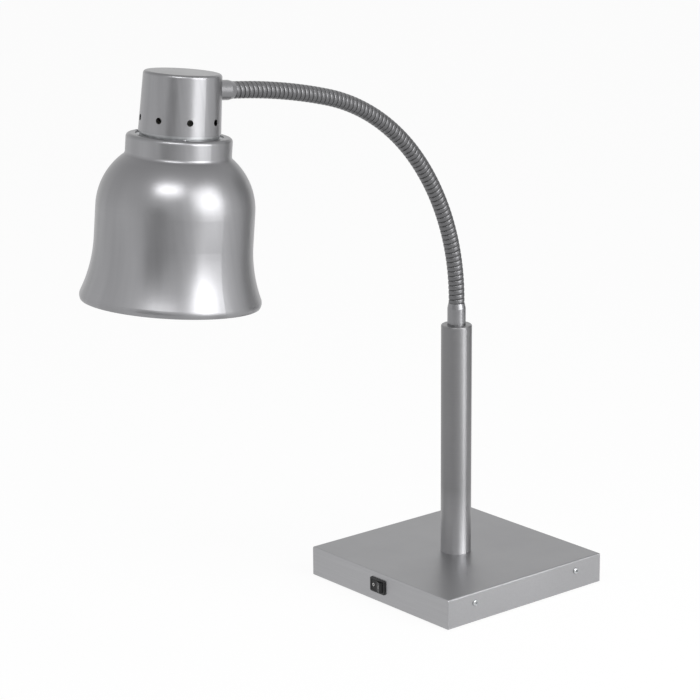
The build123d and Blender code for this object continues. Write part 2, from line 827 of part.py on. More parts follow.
# Head: the porcelain lamp holder, with a terminal screw at each side of the lead
terminal_seat_radius = holder_radius + 2 * wire_radius + 2 * fit_play
terminal_places = []
for turn in (terminal_angle, -terminal_angle):
    terminal_places.append((sin(radians(turn)), cos(radians(turn))))
terminal_level = holder_top + terminal_depth
terminal_seats = []
for across, back in terminal_places:
    seat_origin = in_head(terminal_seat_radius * across, terminal_seat_radius * back, terminal_level)
    outward = head.x_dir * across + head.y_dir * back
    terminal_seats.append(Plane(origin=seat_origin, x_dir=head.z_dir, z_dir=outward))
holder_shoulder_depth = holder_top + holder_shoulder
with BuildPart() as lamp_holder:
    with BuildSketch(head_section):
        Polygon(
            (0, -holder_top),
            (holder_radius, -holder_top),
            (holder_radius, -holder_shoulder_depth),
            (holder_skirt_radius, -holder_shoulder_depth - holder_skirt_radius + holder_radius),
            (holder_skirt_radius, -holder_mouth),
            (holder_bore_radius, -holder_mouth),
            (holder_bore_radius, -socket_floor),
            (0, -socket_floor),
            align=None,
        )
    revolve(axis=head_axis)
    with BuildSketch(head.offset(-holder_top)):
        with GridLocations(holder_screw_spacing, holder_screw_spacing, 1, 2):
            Circle(side_screw_radius + thread_play)
    extrude(amount=bracket_thickness - holder_screw_length - screw_hole_spare, mode=Mode.SUBTRACT)
    with BuildSketch(head.offset(-socket_floor)):
        Circle(contact_stem_radius + thread_play)
    extrude(amount=contact_height, mode=Mode.SUBTRACT)
    for seat in terminal_seats:
        with BuildSketch(seat):
            Circle(side_screw_radius + thread_play)
        extrude(amount=-terminal_screw_length - screw_hole_spare, mode=Mode.SUBTRACT)
lamp_holder.part.label = "lamp_holder"
export_step(lamp_holder.part, "parts/lamp_holder.step")

# Head: the holder's brass parts
with BuildPart() as holder_contact:
    with BuildSketch(head.offset(-socket_floor)):
        Circle(contact_radius)
    extrude(amount=-contact_height)
    with BuildSketch(head.offset(-socket_floor)):
        Circle(contact_stem_radius)
    extrude(amount=contact_height - contact_stem_gap)
holder_contact.part.label = "holder_contact"
export_step(holder_contact.part, "parts/holder_contact.step")

with BuildPart() as holder_terminals:
    for seat in terminal_seats:
        shank = terminal_screw_length
        add(screw(seat, terminal_head_radius, terminal_head_height, side_screw_radius, shank))
holder_terminals.part.label = "holder_terminals"
export_step(holder_terminals.part, "parts/holder_terminals.step")


def thread_wave(mean, start):
    """The rolled thread's wavy line, drawn as arcs about a mean radius, down from a start depth."""
    with BuildLine() as line:
        for half in range(2 * thread_turns):
            upper = -start - half * thread_pitch / 2
            lower = upper - thread_pitch / 2
            crest = mean + (thread_depth if half % 2 == 0 else -thread_depth)
            ThreePointArc((mean, upper), (crest, (upper + lower) / 2), (mean, lower))
    return line.wire()


thread_start = bulb_tip + insulator_height
thread_end_depth = thread_start + thread_turns * thread_pitch
shell_inside = thread_mean_radius + shell_play
with BuildPart() as holder_shell:
    with BuildSketch(head_section):
        with BuildLine():
            add(thread_wave(shell_inside, thread_start))
            add(thread_wave(shell_inside + shell_wall, thread_start))
            Line((shell_inside, -thread_start), (shell_inside + shell_wall, -thread_start))
            Line((shell_inside, -thread_end_depth), (shell_inside + shell_wall, -thread_end_depth))
        make_face()
    revolve(axis=head_axis)
holder_shell.part.label = "holder_shell"
export_step(holder_shell.part, "parts/holder_shell.step")

# Head: the end of the lead, and the wires from it to the holder's terminals
with BuildPart() as head_lead:
    stations = even_steps(pivots[-1] + lead_end_gap, rib_end, lead_stations)
    lead_tip = head_axis_distance - thread_end
    add(round_run([(distance, lead_radius) for distance in stations + [lead_tip]]))
head_lead.part.label = "head_lead"
export_step(head_lead.part, "parts/head_lead.step")

with BuildPart() as head_wires:
    for side, (across, back) in zip((1, -1), terminal_places):
        aside = side * wire_offset
        over = terminal_seat_radius - wire_radius
        shank_edge = side_screw_radius + 2 * fit_play
        bend_at = holder_radius + 2 * wire_offset + 2 * wire_radius
        route = [
            in_head(aside, thread_end, neck_depth),
            in_head(aside, bend_at, neck_depth),
            in_head(over * across, over * back, neck_depth),
            in_head(over * across, over * back, terminal_level + shank_edge),
        ]
        add(wire(route, head_wire_bend, wire_radius))
head_wires.part.label = "head_wires"
export_step(head_wires.part, "parts/head_wires.step")

# Head: the shade ring, which the bell's lip lies on, with a spigot that centres the cap, then its
# screws and its rivets
rivet_circle = mouth_radius + lip_width / 2
with BuildPart() as shade_ring:
    with BuildSketch(head.offset(-ring_depth)):
        Circle(ring_radius)
        Circle(ring_inside_radius, mode=Mode.SUBTRACT)
        with PolarLocations(ring_screw_circle, 2, start_angle=90):
            Circle(side_screw_radius + screw_play, mode=Mode.SUBTRACT)
        with PolarLocations(ring_vent_circle, vent_count, start_angle=180 / vent_count):
            Circle(ring_vent_radius, mode=Mode.SUBTRACT)
        with PolarLocations(rivet_circle, rivet_count, start_angle=90):
            Circle(rivet_radius + fit_play, mode=Mode.SUBTRACT)
    extrude(amount=-ring_thickness)
    with BuildSketch(head.offset(-ring_depth)):
        Circle(spigot_radius)
        Circle(spigot_radius - spigot_wall, mode=Mode.SUBTRACT)
    extrude(amount=spigot_height)
shade_ring.part.label = "shade_ring"
export_step(shade_ring.part, "parts/shade_ring.step")

with BuildPart() as ring_screws:
    for side in (1, -1):
        centre = in_head(0, side * ring_screw_circle, ring_depth + ring_thickness)
        seat = Plane(origin=centre, x_dir=head.x_dir, z_dir=-head.z_dir)
        grip = ring_thickness + bracket_thickness + screw_overhang
        add(small_screw(seat, grip))
ring_screws.part.label = "ring_screws"
export_step(ring_screws.part, "parts/ring_screws.step")

with BuildPart() as shade_rivets:
    for level, direction in ((lip_depth, 1), (ring_depth + ring_thickness, -1)):
        with BuildSketch(head.offset(-level)):
            with PolarLocations(rivet_circle, rivet_count, start_angle=90):
                Circle(rivet_head_radius)
        extrude(amount=direction * rivet_head_height)
    with BuildSketch(head.offset(-lip_depth)):
        with PolarLocations(rivet_circle, rivet_count, start_angle=90):
            Circle(rivet_radius)
    extrude(amount=-bell_wall - ring_thickness)
shade_rivets.part.label = "shade_rivets"
export_step(shade_rivets.part, "parts/shade_rivets.step")


def bell_line(inset):
    """The bell's line at a distance inside its outer face, from its mouth to its hem."""
    lip_edge = collar_radius - collar_edge
    shoulder_x = body_radius - shoulder_radius
    fillet_x = collar_radius + collar_fillet
    rise = sqrt((shoulder_radius + collar_fillet) ** 2 - (fillet_x - shoulder_x) ** 2)
    fillet_y = rise - shoulder_depth
    meet = degrees(atan2(rise, fillet_x - shoulder_x))
    flare_x = body_radius + flare_radius
    hem_x = hem_radius - hem_roll
    turn = degrees(flare_turn)
    with BuildLine() as line:
        Line((mouth_radius, -lip_depth - inset), (lip_edge, -lip_depth - inset))
        CenterArc((lip_edge, -lip_depth - collar_edge), collar_edge - inset, 0, 90)
        Line((collar_radius - inset, -lip_depth - collar_edge), (collar_radius - inset, fillet_y))
        CenterArc((fillet_x, fillet_y), collar_fillet + inset, 180, meet)
        CenterArc((shoulder_x, -shoulder_depth), shoulder_radius - inset, 0, meet)
        Line((body_radius - inset, -shoulder_depth), (body_radius - inset, -flare_depth))
        CenterArc((flare_x, -flare_depth), flare_radius + inset, 180, turn)
        CenterArc((hem_x, -hem_middle), hem_roll - inset, -hem_curl, turn + hem_curl)
    return line.wire()


# Head: the bell shade, spun from sheet
with BuildPart() as bell_shade:
    with BuildSketch(head_section):
        with BuildLine():
            add(bell_line(0))
            add(bell_line(bell_wall))
            Line((mouth_radius, -lip_depth), (mouth_radius, -ring_depth))
            edge = Vector(hem_radius - hem_roll, -hem_middle)
            curl = Vector(cos(radians(hem_curl)), -sin(radians(hem_curl)))
            Line(edge + curl * hem_roll, edge + curl * (hem_roll - bell_wall))
        make_face()
    revolve(axis=head_axis)
    with BuildSketch(head.offset(-lip_depth)):
        with PolarLocations(rivet_circle, rivet_count, start_angle=90):
            Circle(rivet_radius + fit_play)
    extrude(amount=-bell_wall, mode=Mode.SUBTRACT)
bell_shade.part.label = "bell_shade"
export_step(bell_shade.part, "parts/bell_shade.step")

# Bulb: levels as depths below the cap's top
base_end = bulb_tip + bulb_base_length
skirt_end = base_end + bulb_skirt_length
side_end = bulb_face - bulb_face_rise
cone_end = side_end - bulb_side_height
neck_glass_end = cone_end - bulb_cone_length
glass_start = base_end + base_wall + fit_play
glass_rim = bulb_skirt_radius - base_wall - fit_play


def glass_line(inset):
    """The bulb's outline at a distance inside the glass, from its base to the middle of its face."""
    with BuildLine() as line:
        FilletPolyline(
            (glass_rim - inset, -glass_start),
            (glass_rim - inset, -skirt_end - bulb_skirt_gap),
            (bulb_neck_radius - inset, -skirt_end - bulb_skirt_length),
            (bulb_neck_radius - inset, -neck_glass_end),
            (bulb_radius - inset, -cone_end),
            (bulb_radius - inset, -side_end),
            radius=bulb_bends,
        )
        EllipticalCenterArc(
            (0, -side_end),
            bulb_radius - inset,
            bulb_face_rise - inset,
            start_angle=270,
            arc_size=90,
        )
    return line.wire()


with BuildPart() as bulb_glass:
    with BuildSketch(head_section):
        with BuildLine():
            add(glass_line(0))
            add(glass_line(bulb_glass_wall))
            Line((glass_rim, -glass_start), (glass_rim - bulb_glass_wall, -glass_start))
            Line((0, -bulb_face), (0, bulb_glass_wall - bulb_face))
        make_face()
    revolve(axis=head_axis)
bulb_glass.part.label = "bulb_glass"
export_step(bulb_glass.part, "parts/bulb_glass.step")

with BuildPart() as bulb_screw_cap:
    with BuildSketch(head_section):
        with BuildLine():
            for wall in (0, base_wall):
                mean = thread_mean_radius - wall
                flared = bulb_skirt_radius - wall
                add(thread_wave(mean, thread_start))
                Polyline(
                    (mean, -thread_end_depth),
                    (mean, -base_end - wall),
                    (flared, -base_end - wall),
                    (flared, -skirt_end),
                )
            Line((bulb_skirt_radius, -skirt_end), (bulb_skirt_radius - base_wall, -skirt_end))
            Line((thread_mean_radius, -thread_start), (thread_mean_radius - base_wall, -thread_start))
        make_face()
    revolve(axis=head_axis)
bulb_screw_cap.part.label = "bulb_screw_cap"
export_step(bulb_screw_cap.part, "parts/bulb_screw_cap.step")

with BuildPart() as bulb_contact:
    with BuildSketch(head_section):
        Polygon(
            (0, -bulb_tip),
            (bulb_pip_radius, -bulb_tip),
            (bulb_pip_radius, -bulb_tip - bulb_pip_height),
            (thread_mean_radius, -thread_start),
            (thread_mean_radius - base_wall - thread_depth - fit_play, -thread_start),
            (thread_mean_radius - base_wall - thread_depth - fit_play, -thread_start - insulator_height),
            (0, -thread_start - insulator_height),
            align=None,
        )
    revolve(axis=head_axis)
bulb_contact.part.label = "bulb_contact"
export_step(bulb_contact.part, "parts/bulb_contact.step")

# Bulb: the stem inside it, with its support wires and the ring of filament
stem_foot = glass_start
stem_tip = stem_foot + stem_height
filament_level = cone_end
with BuildPart() as filament_mount:
    with BuildSketch(head_section):
        foot = glass_rim - bulb_glass_wall - fit_play
        Polygon(
            (0, -stem_foot),
            (foot, -stem_foot),
            (stem_radius, -stem_foot - 2 * stem_radius),
            (stem_radius / 2, -stem_tip),
            (0, -stem_tip),
            align=None,
        )
    revolve(axis=head_axis)
    for angle in (0, 90, 180, 270):
        turn = radians(angle)
        tip = in_head(filament_circle * cos(turn), filament_circle * sin(turn), filament_level)
        root = in_head(0, 0, stem_tip - support_overlap)
        with BuildSketch(Plane(origin=root, z_dir=tip - root)):
            Circle(filament_wire)
        extrude(amount=(tip - root).length)
    with Locations(head.offset(-filament_level)):
        Torus(filament_circle, filament_coil_radius)
filament_mount.part.label = "filament_mount"
export_step(filament_mount.part, "parts/filament_mount.step")

# Switch: the housing, its contact blades and the rocker on its trunnions
switch_face = Plane(origin=(0, -half_base, switch_height), x_dir=(1, 0, 0), z_dir=(0, -1, 0))
cavity_reach = rocker_reach + rocker_play
sweep_below = rocker_reach * sin(asin(rocker_below_pivot / rocker_reach) + radians(rocker_angle))
cavity_floor = rocker_pivot_depth + sweep_below + rocker_play
pivot_point = switch_face.offset(-rocker_pivot_depth).origin
blade_start = cavity_floor + blade_cover
with BuildPart() as switch_contacts:
    with BuildSketch(switch_face.offset(-blade_start)):
        with GridLocations(blade_spacing, 1, 2, 1):
            Rectangle(blade_thickness, blade_width)
    extrude(amount=blade_start - switch_body_depth - blade_overhang)
switch_contacts.part.label = "switch_contacts"
export_step(switch_contacts.part, "parts/switch_contacts.step")

with BuildPart() as switch_housing:
    with BuildSketch(switch_face):
        RectangleRounded(bezel_width, bezel_height, bezel_corner)
    extrude(amount=bezel_thickness)
    fillet(switch_housing.faces().sort_by(Axis.Y)[0].edges(), bezel_edge)
    with BuildSketch(switch_face):
        Rectangle(switch_body_width, switch_body_height)
    extrude(amount=-switch_body_depth)
    with BuildSketch(switch_face.offset(bezel_thickness)):
        Rectangle(2 * cavity_reach, rocker_thickness + 2 * rocker_play)
    extrude(amount=-bezel_thickness - cavity_floor, mode=Mode.SUBTRACT)
    with Locations(pivot_point):
        trunnion_span = rocker_thickness + 2 * trunnion_length
        Cylinder(trunnion_radius + trunnion_play, trunnion_span, mode=Mode.SUBTRACT)
    with BuildSketch(switch_face.offset(-blade_start)):
        with GridLocations(blade_spacing, 1, 2, 1):
            Rectangle(blade_thickness + 2 * fit_play, blade_width + 2 * fit_play)
    extrude(amount=-switch_body_depth, mode=Mode.SUBTRACT)
switch_housing.part.label = "switch_housing"
export_step(switch_housing.part, "parts/switch_housing.step")

# The rocker's section: two faces that fall to a valley, ends round about the pivot
rocker_rest = Plane(origin=pivot_point, x_dir=(1, 0, 0), z_dir=(0, 0, -1)).rotated((0, 0, -rocker_angle))
lean = tan(radians(rocker_angle))
valley = (bezel_thickness + rocker_pivot_depth) / cos(radians(rocker_angle))
spread = sqrt((valley * lean) ** 2 - (1 + lean**2) * (valley**2 - rocker_reach**2))
corner_x = (spread - valley * lean) / (1 + lean**2)
corner_y = valley + lean * corner_x
floor_x = sqrt(rocker_reach**2 - rocker_below_pivot**2)
with BuildPart() as rocker:
    with BuildSketch(rocker_rest):
        with BuildLine():
            Polyline((-corner_x, corner_y), (0, valley), (corner_x, corner_y))
            ThreePointArc((corner_x, corner_y), (rocker_reach, 0), (floor_x, -rocker_below_pivot))
            Line((floor_x, -rocker_below_pivot), (-floor_x, -rocker_below_pivot))
            ThreePointArc((-floor_x, -rocker_below_pivot), (-rocker_reach, 0), (-corner_x, corner_y))
        make_face()
    extrude(amount=rocker_thickness / 2, both=True)
    with BuildSketch(rocker_rest):
        Circle(trunnion_radius)
    extrude(amount=(trunnion_span - rocker_play) / 2, both=True)
rocker.part.label = "rocker"
export_step(rocker.part, "parts/rocker.step")

# Cable gland in the rear wall, with its seal and lock nut
gland_face = Plane(origin=(gland_x, half_base, gland_height), x_dir=(-1, 0, 0), z_dir=(0, 1, 0))
gland_mouth = gland_hex_thickness + gland_dome_length
with BuildPart() as cable_gland:
    with BuildSketch(gland_face):
        RegularPolygon(gland_hex_flats / 2, 6, major_radius=False)
    extrude(amount=gland_hex_thickness)
    with BuildSketch(gland_face.offset(gland_hex_thickness)):
        Circle(gland_dome_radius)
    extrude(amount=gland_dome_length)
    mouth_edge = cable_gland.faces().sort_by(Axis.Y)[-1].edges()
    fillet(mouth_edge, gland_dome_radius - gland_seal_radius - gland_rim)
    with BuildSketch(gland_face):
        Circle(gland_thread_radius)
    extrude(amount=-gland_inside_length)
    with BuildSketch(gland_face.offset(gland_mouth)):
        Circle(gland_seal_radius + fit_play)
    extrude(amount=-gland_dome_length - gland_hex_thickness, mode=Mode.SUBTRACT)
    with BuildSketch(gland_face.offset(gland_mouth)):
        Circle(mains_lead_radius + screw_play)
    extrude(amount=-gland_mouth - gland_inside_length, mode=Mode.SUBTRACT)
cable_gland.part.label = "cable_gland"
export_step(cable_gland.part, "parts/cable_gland.step")

with BuildPart() as gland_seal:
    with BuildSketch(gland_face):
        Circle(gland_seal_radius)
        Circle(mains_lead_radius, mode=Mode.SUBTRACT)
    extrude(amount=gland_mouth - gland_seal_recess)
gland_seal.part.label = "gland_seal"
export_step(gland_seal.part, "parts/gland_seal.step")

with BuildPart() as gland_nut:
    with BuildSketch(gland_face.offset(-sheet)):
        RegularPolygon(gland_hex_flats / 2, 6, major_radius=False)
        Circle(gland_thread_radius + thread_play, mode=Mode.SUBTRACT)
    extrude(amount=-gland_nut_thickness)
gland_nut.part.label = "gland_nut"
export_step(gland_nut.part, "parts/gland_nut.step")

# Terminal block, its clamping screws and its fixing screws
block_top = plate_top + block_height
wire_level = plate_top + block_wire_height
block_poles = (-pole_pitch, 0, pole_pitch)
clamp_rows = (block_middle_y - block_width / 4, block_middle_y + block_width / 4)
with BuildPart() as terminal_block:
    with BuildSketch(Plane.XY.offset(plate_top)):
        with Locations((0, block_middle_y)):
            Rectangle(block_length, block_width)
    extrude(amount=block_height)
    with BuildSketch(Plane(origin=(0, block_start_y, wire_level), x_dir=(1, 0, 0), z_dir=(0, 1, 0))):
        with GridLocations(pole_pitch, 1, 3, 1):
            Circle(block_bore)
    extrude(amount=block_width, mode=Mode.SUBTRACT)
    with BuildSketch(Plane.XY.offset(block_top)):
        with Locations([(x, y) for x in block_poles for y in clamp_rows]):
            Circle(clamp_screw_radius + thread_play)
    extrude(amount=-block_wire_height, mode=Mode.SUBTRACT)
    with BuildSketch(Plane.XY.offset(block_top)):
        with Locations((-pole_pitch / 2, block_middle_y), (pole_pitch / 2, block_middle_y)):
            Circle(block_screw_radius + screw_play)
    extrude(amount=-block_height, mode=Mode.SUBTRACT)
terminal_block.part.label = "terminal_block"
export_step(terminal_block.part, "parts/terminal_block.step")

with BuildPart() as clamp_screws:
    for x in block_poles:
        for y in clamp_rows:
            seat = Plane(origin=(x, y, block_top))
            grip = block_wire_height - wire_radius - 2 * fit_play
            add(screw(seat, clamp_screw_head, clamp_screw_radius, clamp_screw_radius, grip))
clamp_screws.part.label = "clamp_screws"
export_step(clamp_screws.part, "parts/clamp_screws.step")

with BuildPart() as block_screws:
    for x in (-pole_pitch / 2, pole_pitch / 2):
        seat = Plane(origin=(x, block_middle_y, block_top))
        add(screw(seat, block_screw_head, clamp_screw_radius, block_screw_radius, block_height + sheet))
block_screws.part.label = "block_screws"
export_step(block_screws.part, "parts/block_screws.step")

with BuildPart() as earth_screw:
    seat = Plane(origin=(earth_screw_x, earth_screw_y, plate_top + 2 * wire_radius + fit_play))
    reach = 2 * wire_radius + fit_play + sheet
    add(screw(seat, 2 * earth_screw_radius, earth_screw_radius, earth_screw_radius, reach))
earth_screw.part.label = "earth_screw"
export_step(earth_screw.part, "parts/earth_screw.step")

# The lead from the base up the pole to the neck, and the wires at the block
lead_level = plate_top + lead_radius + plate_clearance
with BuildPart() as stand_lead:
    route = [(0, stripped_from_y, lead_level), (0, 0, lead_level), (0, 0, bend_start)]
    add(wire(route, stand_lead_bend, lead_radius))
    stations = even_steps(0, pivots[0] - lead_end_gap, lead_stations)
    add(round_run([(distance, lead_radius) for distance in stations]))
stand_lead.part.label = "stand_lead"
export_step(stand_lead.part, "parts/stand_lead.step")

in_block = block_start_y + block_width / 4 - clamp_screw_radius
before_block = block_start_y - wire_bend - wire_radius
low = plate_top + wire_radius + fit_play
blade_back = -half_base + switch_body_depth + blade_overhang
with BuildPart() as base_wires:
    for pole, side in zip(block_poles, (-1, 0, 1)):
        start_x = side * wire_spacing
        end_x = pole - side * wire_offset
        spread_y = stripped_from_y + wire_bend
        route = [(start_x, stripped_from_y, lead_level), (start_x, spread_y, lead_level)]
        route += [(end_x, before_block, wire_level), (end_x, in_block, wire_level)]
        add(wire(route, wire_bend, wire_radius))
    live = -pole_pitch - wire_offset
    over_x = live - wire_bend
    route = [(live, in_block, wire_level), (live, before_block, wire_level)]
    route += [(over_x, before_block - wire_bend, switch_wire_height)]
    route += [(over_x, blade_back + 3 * wire_bend, switch_wire_height)]
    route += [(-blade_spacing / 2, blade_back + wire_bend + blade_gap, switch_height)]
    route += [(-blade_spacing / 2, blade_back + fit_play, switch_height)]
    add(wire(route, wire_bend / 2, wire_radius))
    earth = pole_pitch + wire_offset
    route = [(earth, in_block, wire_level), (earth, before_block, wire_level)]
    route += [(earth_screw_x - wire_bend, before_block, low)]
    route += [(earth_screw_x, before_block + wire_bend, low)]
    route += [(earth_screw_x, earth_screw_y - earth_screw_radius - fit_play, low)]
    add(wire(route, wire_bend / 2, wire_radius))
base_wires.part.label = "base_wires"
export_step(base_wires.part, "parts/base_wires.step")
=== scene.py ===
"""Food warming lamp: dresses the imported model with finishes, a spiral neck, marks and a stage."""

from math import cos, pi, radians, sin

import bpy
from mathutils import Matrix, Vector


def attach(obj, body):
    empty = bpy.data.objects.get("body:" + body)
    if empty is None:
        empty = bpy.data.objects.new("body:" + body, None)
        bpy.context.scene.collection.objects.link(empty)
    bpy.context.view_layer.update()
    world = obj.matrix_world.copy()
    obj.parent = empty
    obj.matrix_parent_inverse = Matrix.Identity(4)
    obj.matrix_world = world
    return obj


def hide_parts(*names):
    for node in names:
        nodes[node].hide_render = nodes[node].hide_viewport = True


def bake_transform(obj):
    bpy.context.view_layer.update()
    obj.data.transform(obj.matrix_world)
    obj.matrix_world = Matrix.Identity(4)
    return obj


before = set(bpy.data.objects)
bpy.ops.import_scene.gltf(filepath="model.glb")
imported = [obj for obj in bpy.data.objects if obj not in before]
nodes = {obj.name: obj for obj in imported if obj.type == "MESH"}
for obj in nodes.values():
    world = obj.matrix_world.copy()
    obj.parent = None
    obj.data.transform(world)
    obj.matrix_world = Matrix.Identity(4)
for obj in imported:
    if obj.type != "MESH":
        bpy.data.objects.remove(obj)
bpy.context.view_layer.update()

bl_info = {
    "name": "Food warming lamp",
    "version": (1, 0, 0),
    "blender": (4, 5, 0),
    "location": "View3D > Sidebar > Warming Lamp",
    "description": "Finishes, spiral neck, switch marks and stage for a food warming lamp",
    "category": "Object",
}

# The neck's centre line, as in the CAD: it bends from this height, in arcs of radius and turn
BEND_START = 0.304
HEAD_TILT = radians(5.6)
NECK_ARCS = ((0.248, radians(40)), (0.219, radians(35)), (0.624, radians(15) - HEAD_TILT))

# The neck's ribs, by their distance along that line from where it starts to bend
FIRST_RIB = -0.002
RIB_PITCH = 0.0051875
RIBS_AT_END = 5
RIBS_PER_LINK = 12
LINKS = 6
LAST_RIB = FIRST_RIB + (2 * RIBS_AT_END + LINKS * RIBS_PER_LINK) * RIB_PITCH

# The plain ends of the neck that the ferrules hold, and the share of a link that bends at each end
SLEEVE = 0.0159
BENDING_SHARE = 0.4

# The neck meets the axis of the head this far past its last rib, and this far below the cap's top
HEAD_AXIS_FROM_RIBS = 0.057625
NECK_BELOW_CAP = 0.0175

# The spiral's piece of this number, counted from 0, lists its upper body before its lower one.
# The other way round, with the whole neck at its upper limits, rounding tears it.
BLENDED_FROM_ABOVE = 4

# The rocker in its off position: its pivot, the depth of the valley between its faces, how far
# across the valley leans as a share of that depth, and the lean of the face that stands out
ROCKER_PIVOT = Vector((0, -0.1065, 0.019))
ROCKER_VALLEY = 0.0028
VALLEY_LEAN = 0.194
ROCKER_LEAN = radians(22)

# The marks on the rocker: their places along its faces, and their sizes
OFF_PLACE = -0.0052
OFF_OUTER_RADIUS = 0.0016
OFF_INNER_RADIUS = 0.0011
OFF_POINTS = 32
ON_PLACE = 0.0046
ON_HALF_WIDTH = 0.0003
ON_HALF_HEIGHT = 0.0017

# Colours of what is inside or small
MIRROR = (0.62, 0.62, 0.63)
BULB_BRASS = (0.52, 0.38, 0.16)
TERMINAL_BRASS = (0.55, 0.40, 0.17)
BLOCK_SCREW = (0.5, 0.5, 0.51)
FILAMENT = (0.35, 0.35, 0.36)
PORCELAIN = (0.78, 0.77, 0.72)
CAST_IRON = (0.05, 0.05, 0.055)
PAD_RUBBER = (0.02, 0.02, 0.02)
LEAD_RUBBER = (0.03, 0.03, 0.03)
WIRE_COVER = (0.20, 0.09, 0.04)
GLAND_NYLON = (0.02, 0.02, 0.021)
BLOCK_NYLON = (0.62, 0.61, 0.57)
WHITE = (1, 1, 1, 1)

# A noise node's values lie mostly between these
NOISE_LOW = 0.3
NOISE_HIGH = 0.7

# Half the height over which the painted shade on the head's upward faces fades out
PAINTED_SHADE_FADE = 0.012

# Sockets of the node that mixes two colours
FIRST_COLOUR = 6
SECOND_COLOUR = 7
MIXED_COLOUR = 2

# The picture's frame and the floor
SENSOR_WIDTH = 36
VIEW_END = 20
FLOOR_HALF = 6.0


def neck_point(distance):
    """Point and outward normal of the neck's centre line at a distance from the first bend."""
    reach = 0.0
    height = BEND_START + min(distance, 0.0)
    heading = pi / 2
    left = max(distance, 0.0)
    for radius, turn in NECK_ARCS:
        step = min(left, radius * turn)
        after = heading - step / radius
        reach += radius * (sin(heading) - sin(after))
        height += radius * (cos(after) - cos(heading))
        heading = after
        left -= step
    reach += left * cos(heading)
    height += left * sin(heading)
    return Vector((0, -reach, height)), Vector((0, sin(heading), cos(heading)))


def numbered(stem):
    """Names of the neck's moving links, of their bodies or of their leads."""
    return [f"{stem}_{number}" for number in range(1, LINKS + 1)]


class LampNeck(bpy.types.PropertyGroup):
    """Sizes of the spiral neck."""

    crest: bpy.props.FloatProperty(
        name="Crest radius",
        description="Radius over a turn of the spiral",
        default=0.0082,
        unit="LENGTH",
    )
    root: bpy.props.FloatProperty(
        name="Groove radius",
        description="Radius at the bottom of the groove",
        default=0.0069,
        unit="LENGTH",
    )
    # Faces deep in the grooves and in the bore get a dark material as painted shade; this share sets
    # where on each turn that painted shade starts
    painted_groove_shade: bpy.props.FloatProperty(
        name="Groove start",
        description="Share of the way from a crest to a groove where the dark groove starts",
        default=0.8,
        min=0.5,
        max=1,
        subtype="FACTOR",
    )
    bore: bpy.props.FloatProperty(
        name="Bore radius",
        description="Radius of the hole that the lead runs in",
        default=0.0058,
        unit="LENGTH",
    )
    facets: bpy.props.IntProperty(
        name="Facets", description="Points round the neck", default=40, min=12
    )
    steps: bpy.props.IntProperty(
        name="Steps", description="Rings of points for each turn of the spiral", default=16, min=6
    )


class LampFinish(bpy.types.PropertyGroup):
    """Colours of the lamp's finishes."""

    shade: bpy.props.FloatVectorProperty(
        name="Shade",
        description="Satin metal of the shade and the cap",
        subtype="COLOR",
        default=(0.30, 0.30, 0.31),
    )
    base: bpy.props.FloatVectorProperty(
        name="Base",
        description="Brushed metal of the base",
        subtype="COLOR",
        default=(0.37, 0.37, 0.38),
    )
    pole: bpy.props.FloatVectorProperty(
        name="Pole",
        description="Satin metal of the pole",
        subtype="COLOR",
        default=(0.21, 0.21, 0.215),
    )
    neck: bpy.props.FloatVectorProperty(
        name="Neck",
        description="Bright metal of the neck",
        subtype="COLOR",
        default=(0.16, 0.16, 0.165),
    )
    zinc: bpy.props.FloatVectorProperty(
        name="Zinc",
        description="Zinc plate of the inner steel and the screws",
        subtype="COLOR",
        default=(0.45, 0.46, 0.47),
    )
    glass: bpy.props.FloatVectorProperty(
        name="Bulb face",
        description="Ruby coating of the bulb's face",
        subtype="COLOR",
        default=(0.45, 0.02, 0.015),
    )
    switch: bpy.props.FloatVectorProperty(
        name="Switch",
        description="Black plastic of the switch",
        subtype="COLOR",
        default=(0.012, 0.012, 0.013),
    )
    marks: bpy.props.FloatVectorProperty(
        name="Marks",
        description="White print on the rocker",
        subtype="COLOR",
        default=(0.75, 0.75, 0.73),
    )


class LampStage(bpy.types.PropertyGroup):
    """Camera, floor and lamps."""

    camera: bpy.props.FloatVectorProperty(
        name="Camera",
        description="Where the camera stands",
        subtype="TRANSLATION",
        default=(1.8781, -1.7009, 0.9379),
    )
    turn: bpy.props.FloatVectorProperty(
        name="Turn",
        description="How the camera is turned",
        subtype="EULER",
        default=(radians(74.846), radians(0.453), radians(50.199)),
    )
    lens: bpy.props.FloatProperty(
        name="Lens", description="Focal length in millimetres on a 36 mm frame", default=130.53
    )
    floor: bpy.props.FloatVectorProperty(
        name="Floor",
        description="Colour of the floor",
        subtype="COLOR",
        default=(0.92, 0.92, 0.92),
    )
    floor_white: bpy.props.FloatProperty(
        name="Floor white",
        description="Share of plain white that the floor shows",
        default=0.93,
        min=0,
        max=1,
        subtype="FACTOR",
    )
    world: bpy.props.FloatProperty(
        name="Sky", description="Strength of the plain light from all round", default=0.55
    )
    tall: bpy.props.FloatProperty(
        name="Tall lamp",
        description="Power of the tall soft lamp on the right",
        default=24.0,
        subtype="POWER",
    )
    low: bpy.props.FloatProperty(
        name="Low lamp",
        description="Power of the dim lamp that stands under the tall one",
        default=4.0,
        subtype="POWER",
    )
    front: bpy.props.FloatProperty(
        name="Front lamp",
        description="Power of the small soft lamp over the camera",
        default=16.0,
        subtype="POWER",
    )
    near: bpy.props.FloatProperty(
        name="Near lamp",
        description="Power of the small lamp low down, right of the pole",
        default=0.16,
        subtype="POWER",
    )


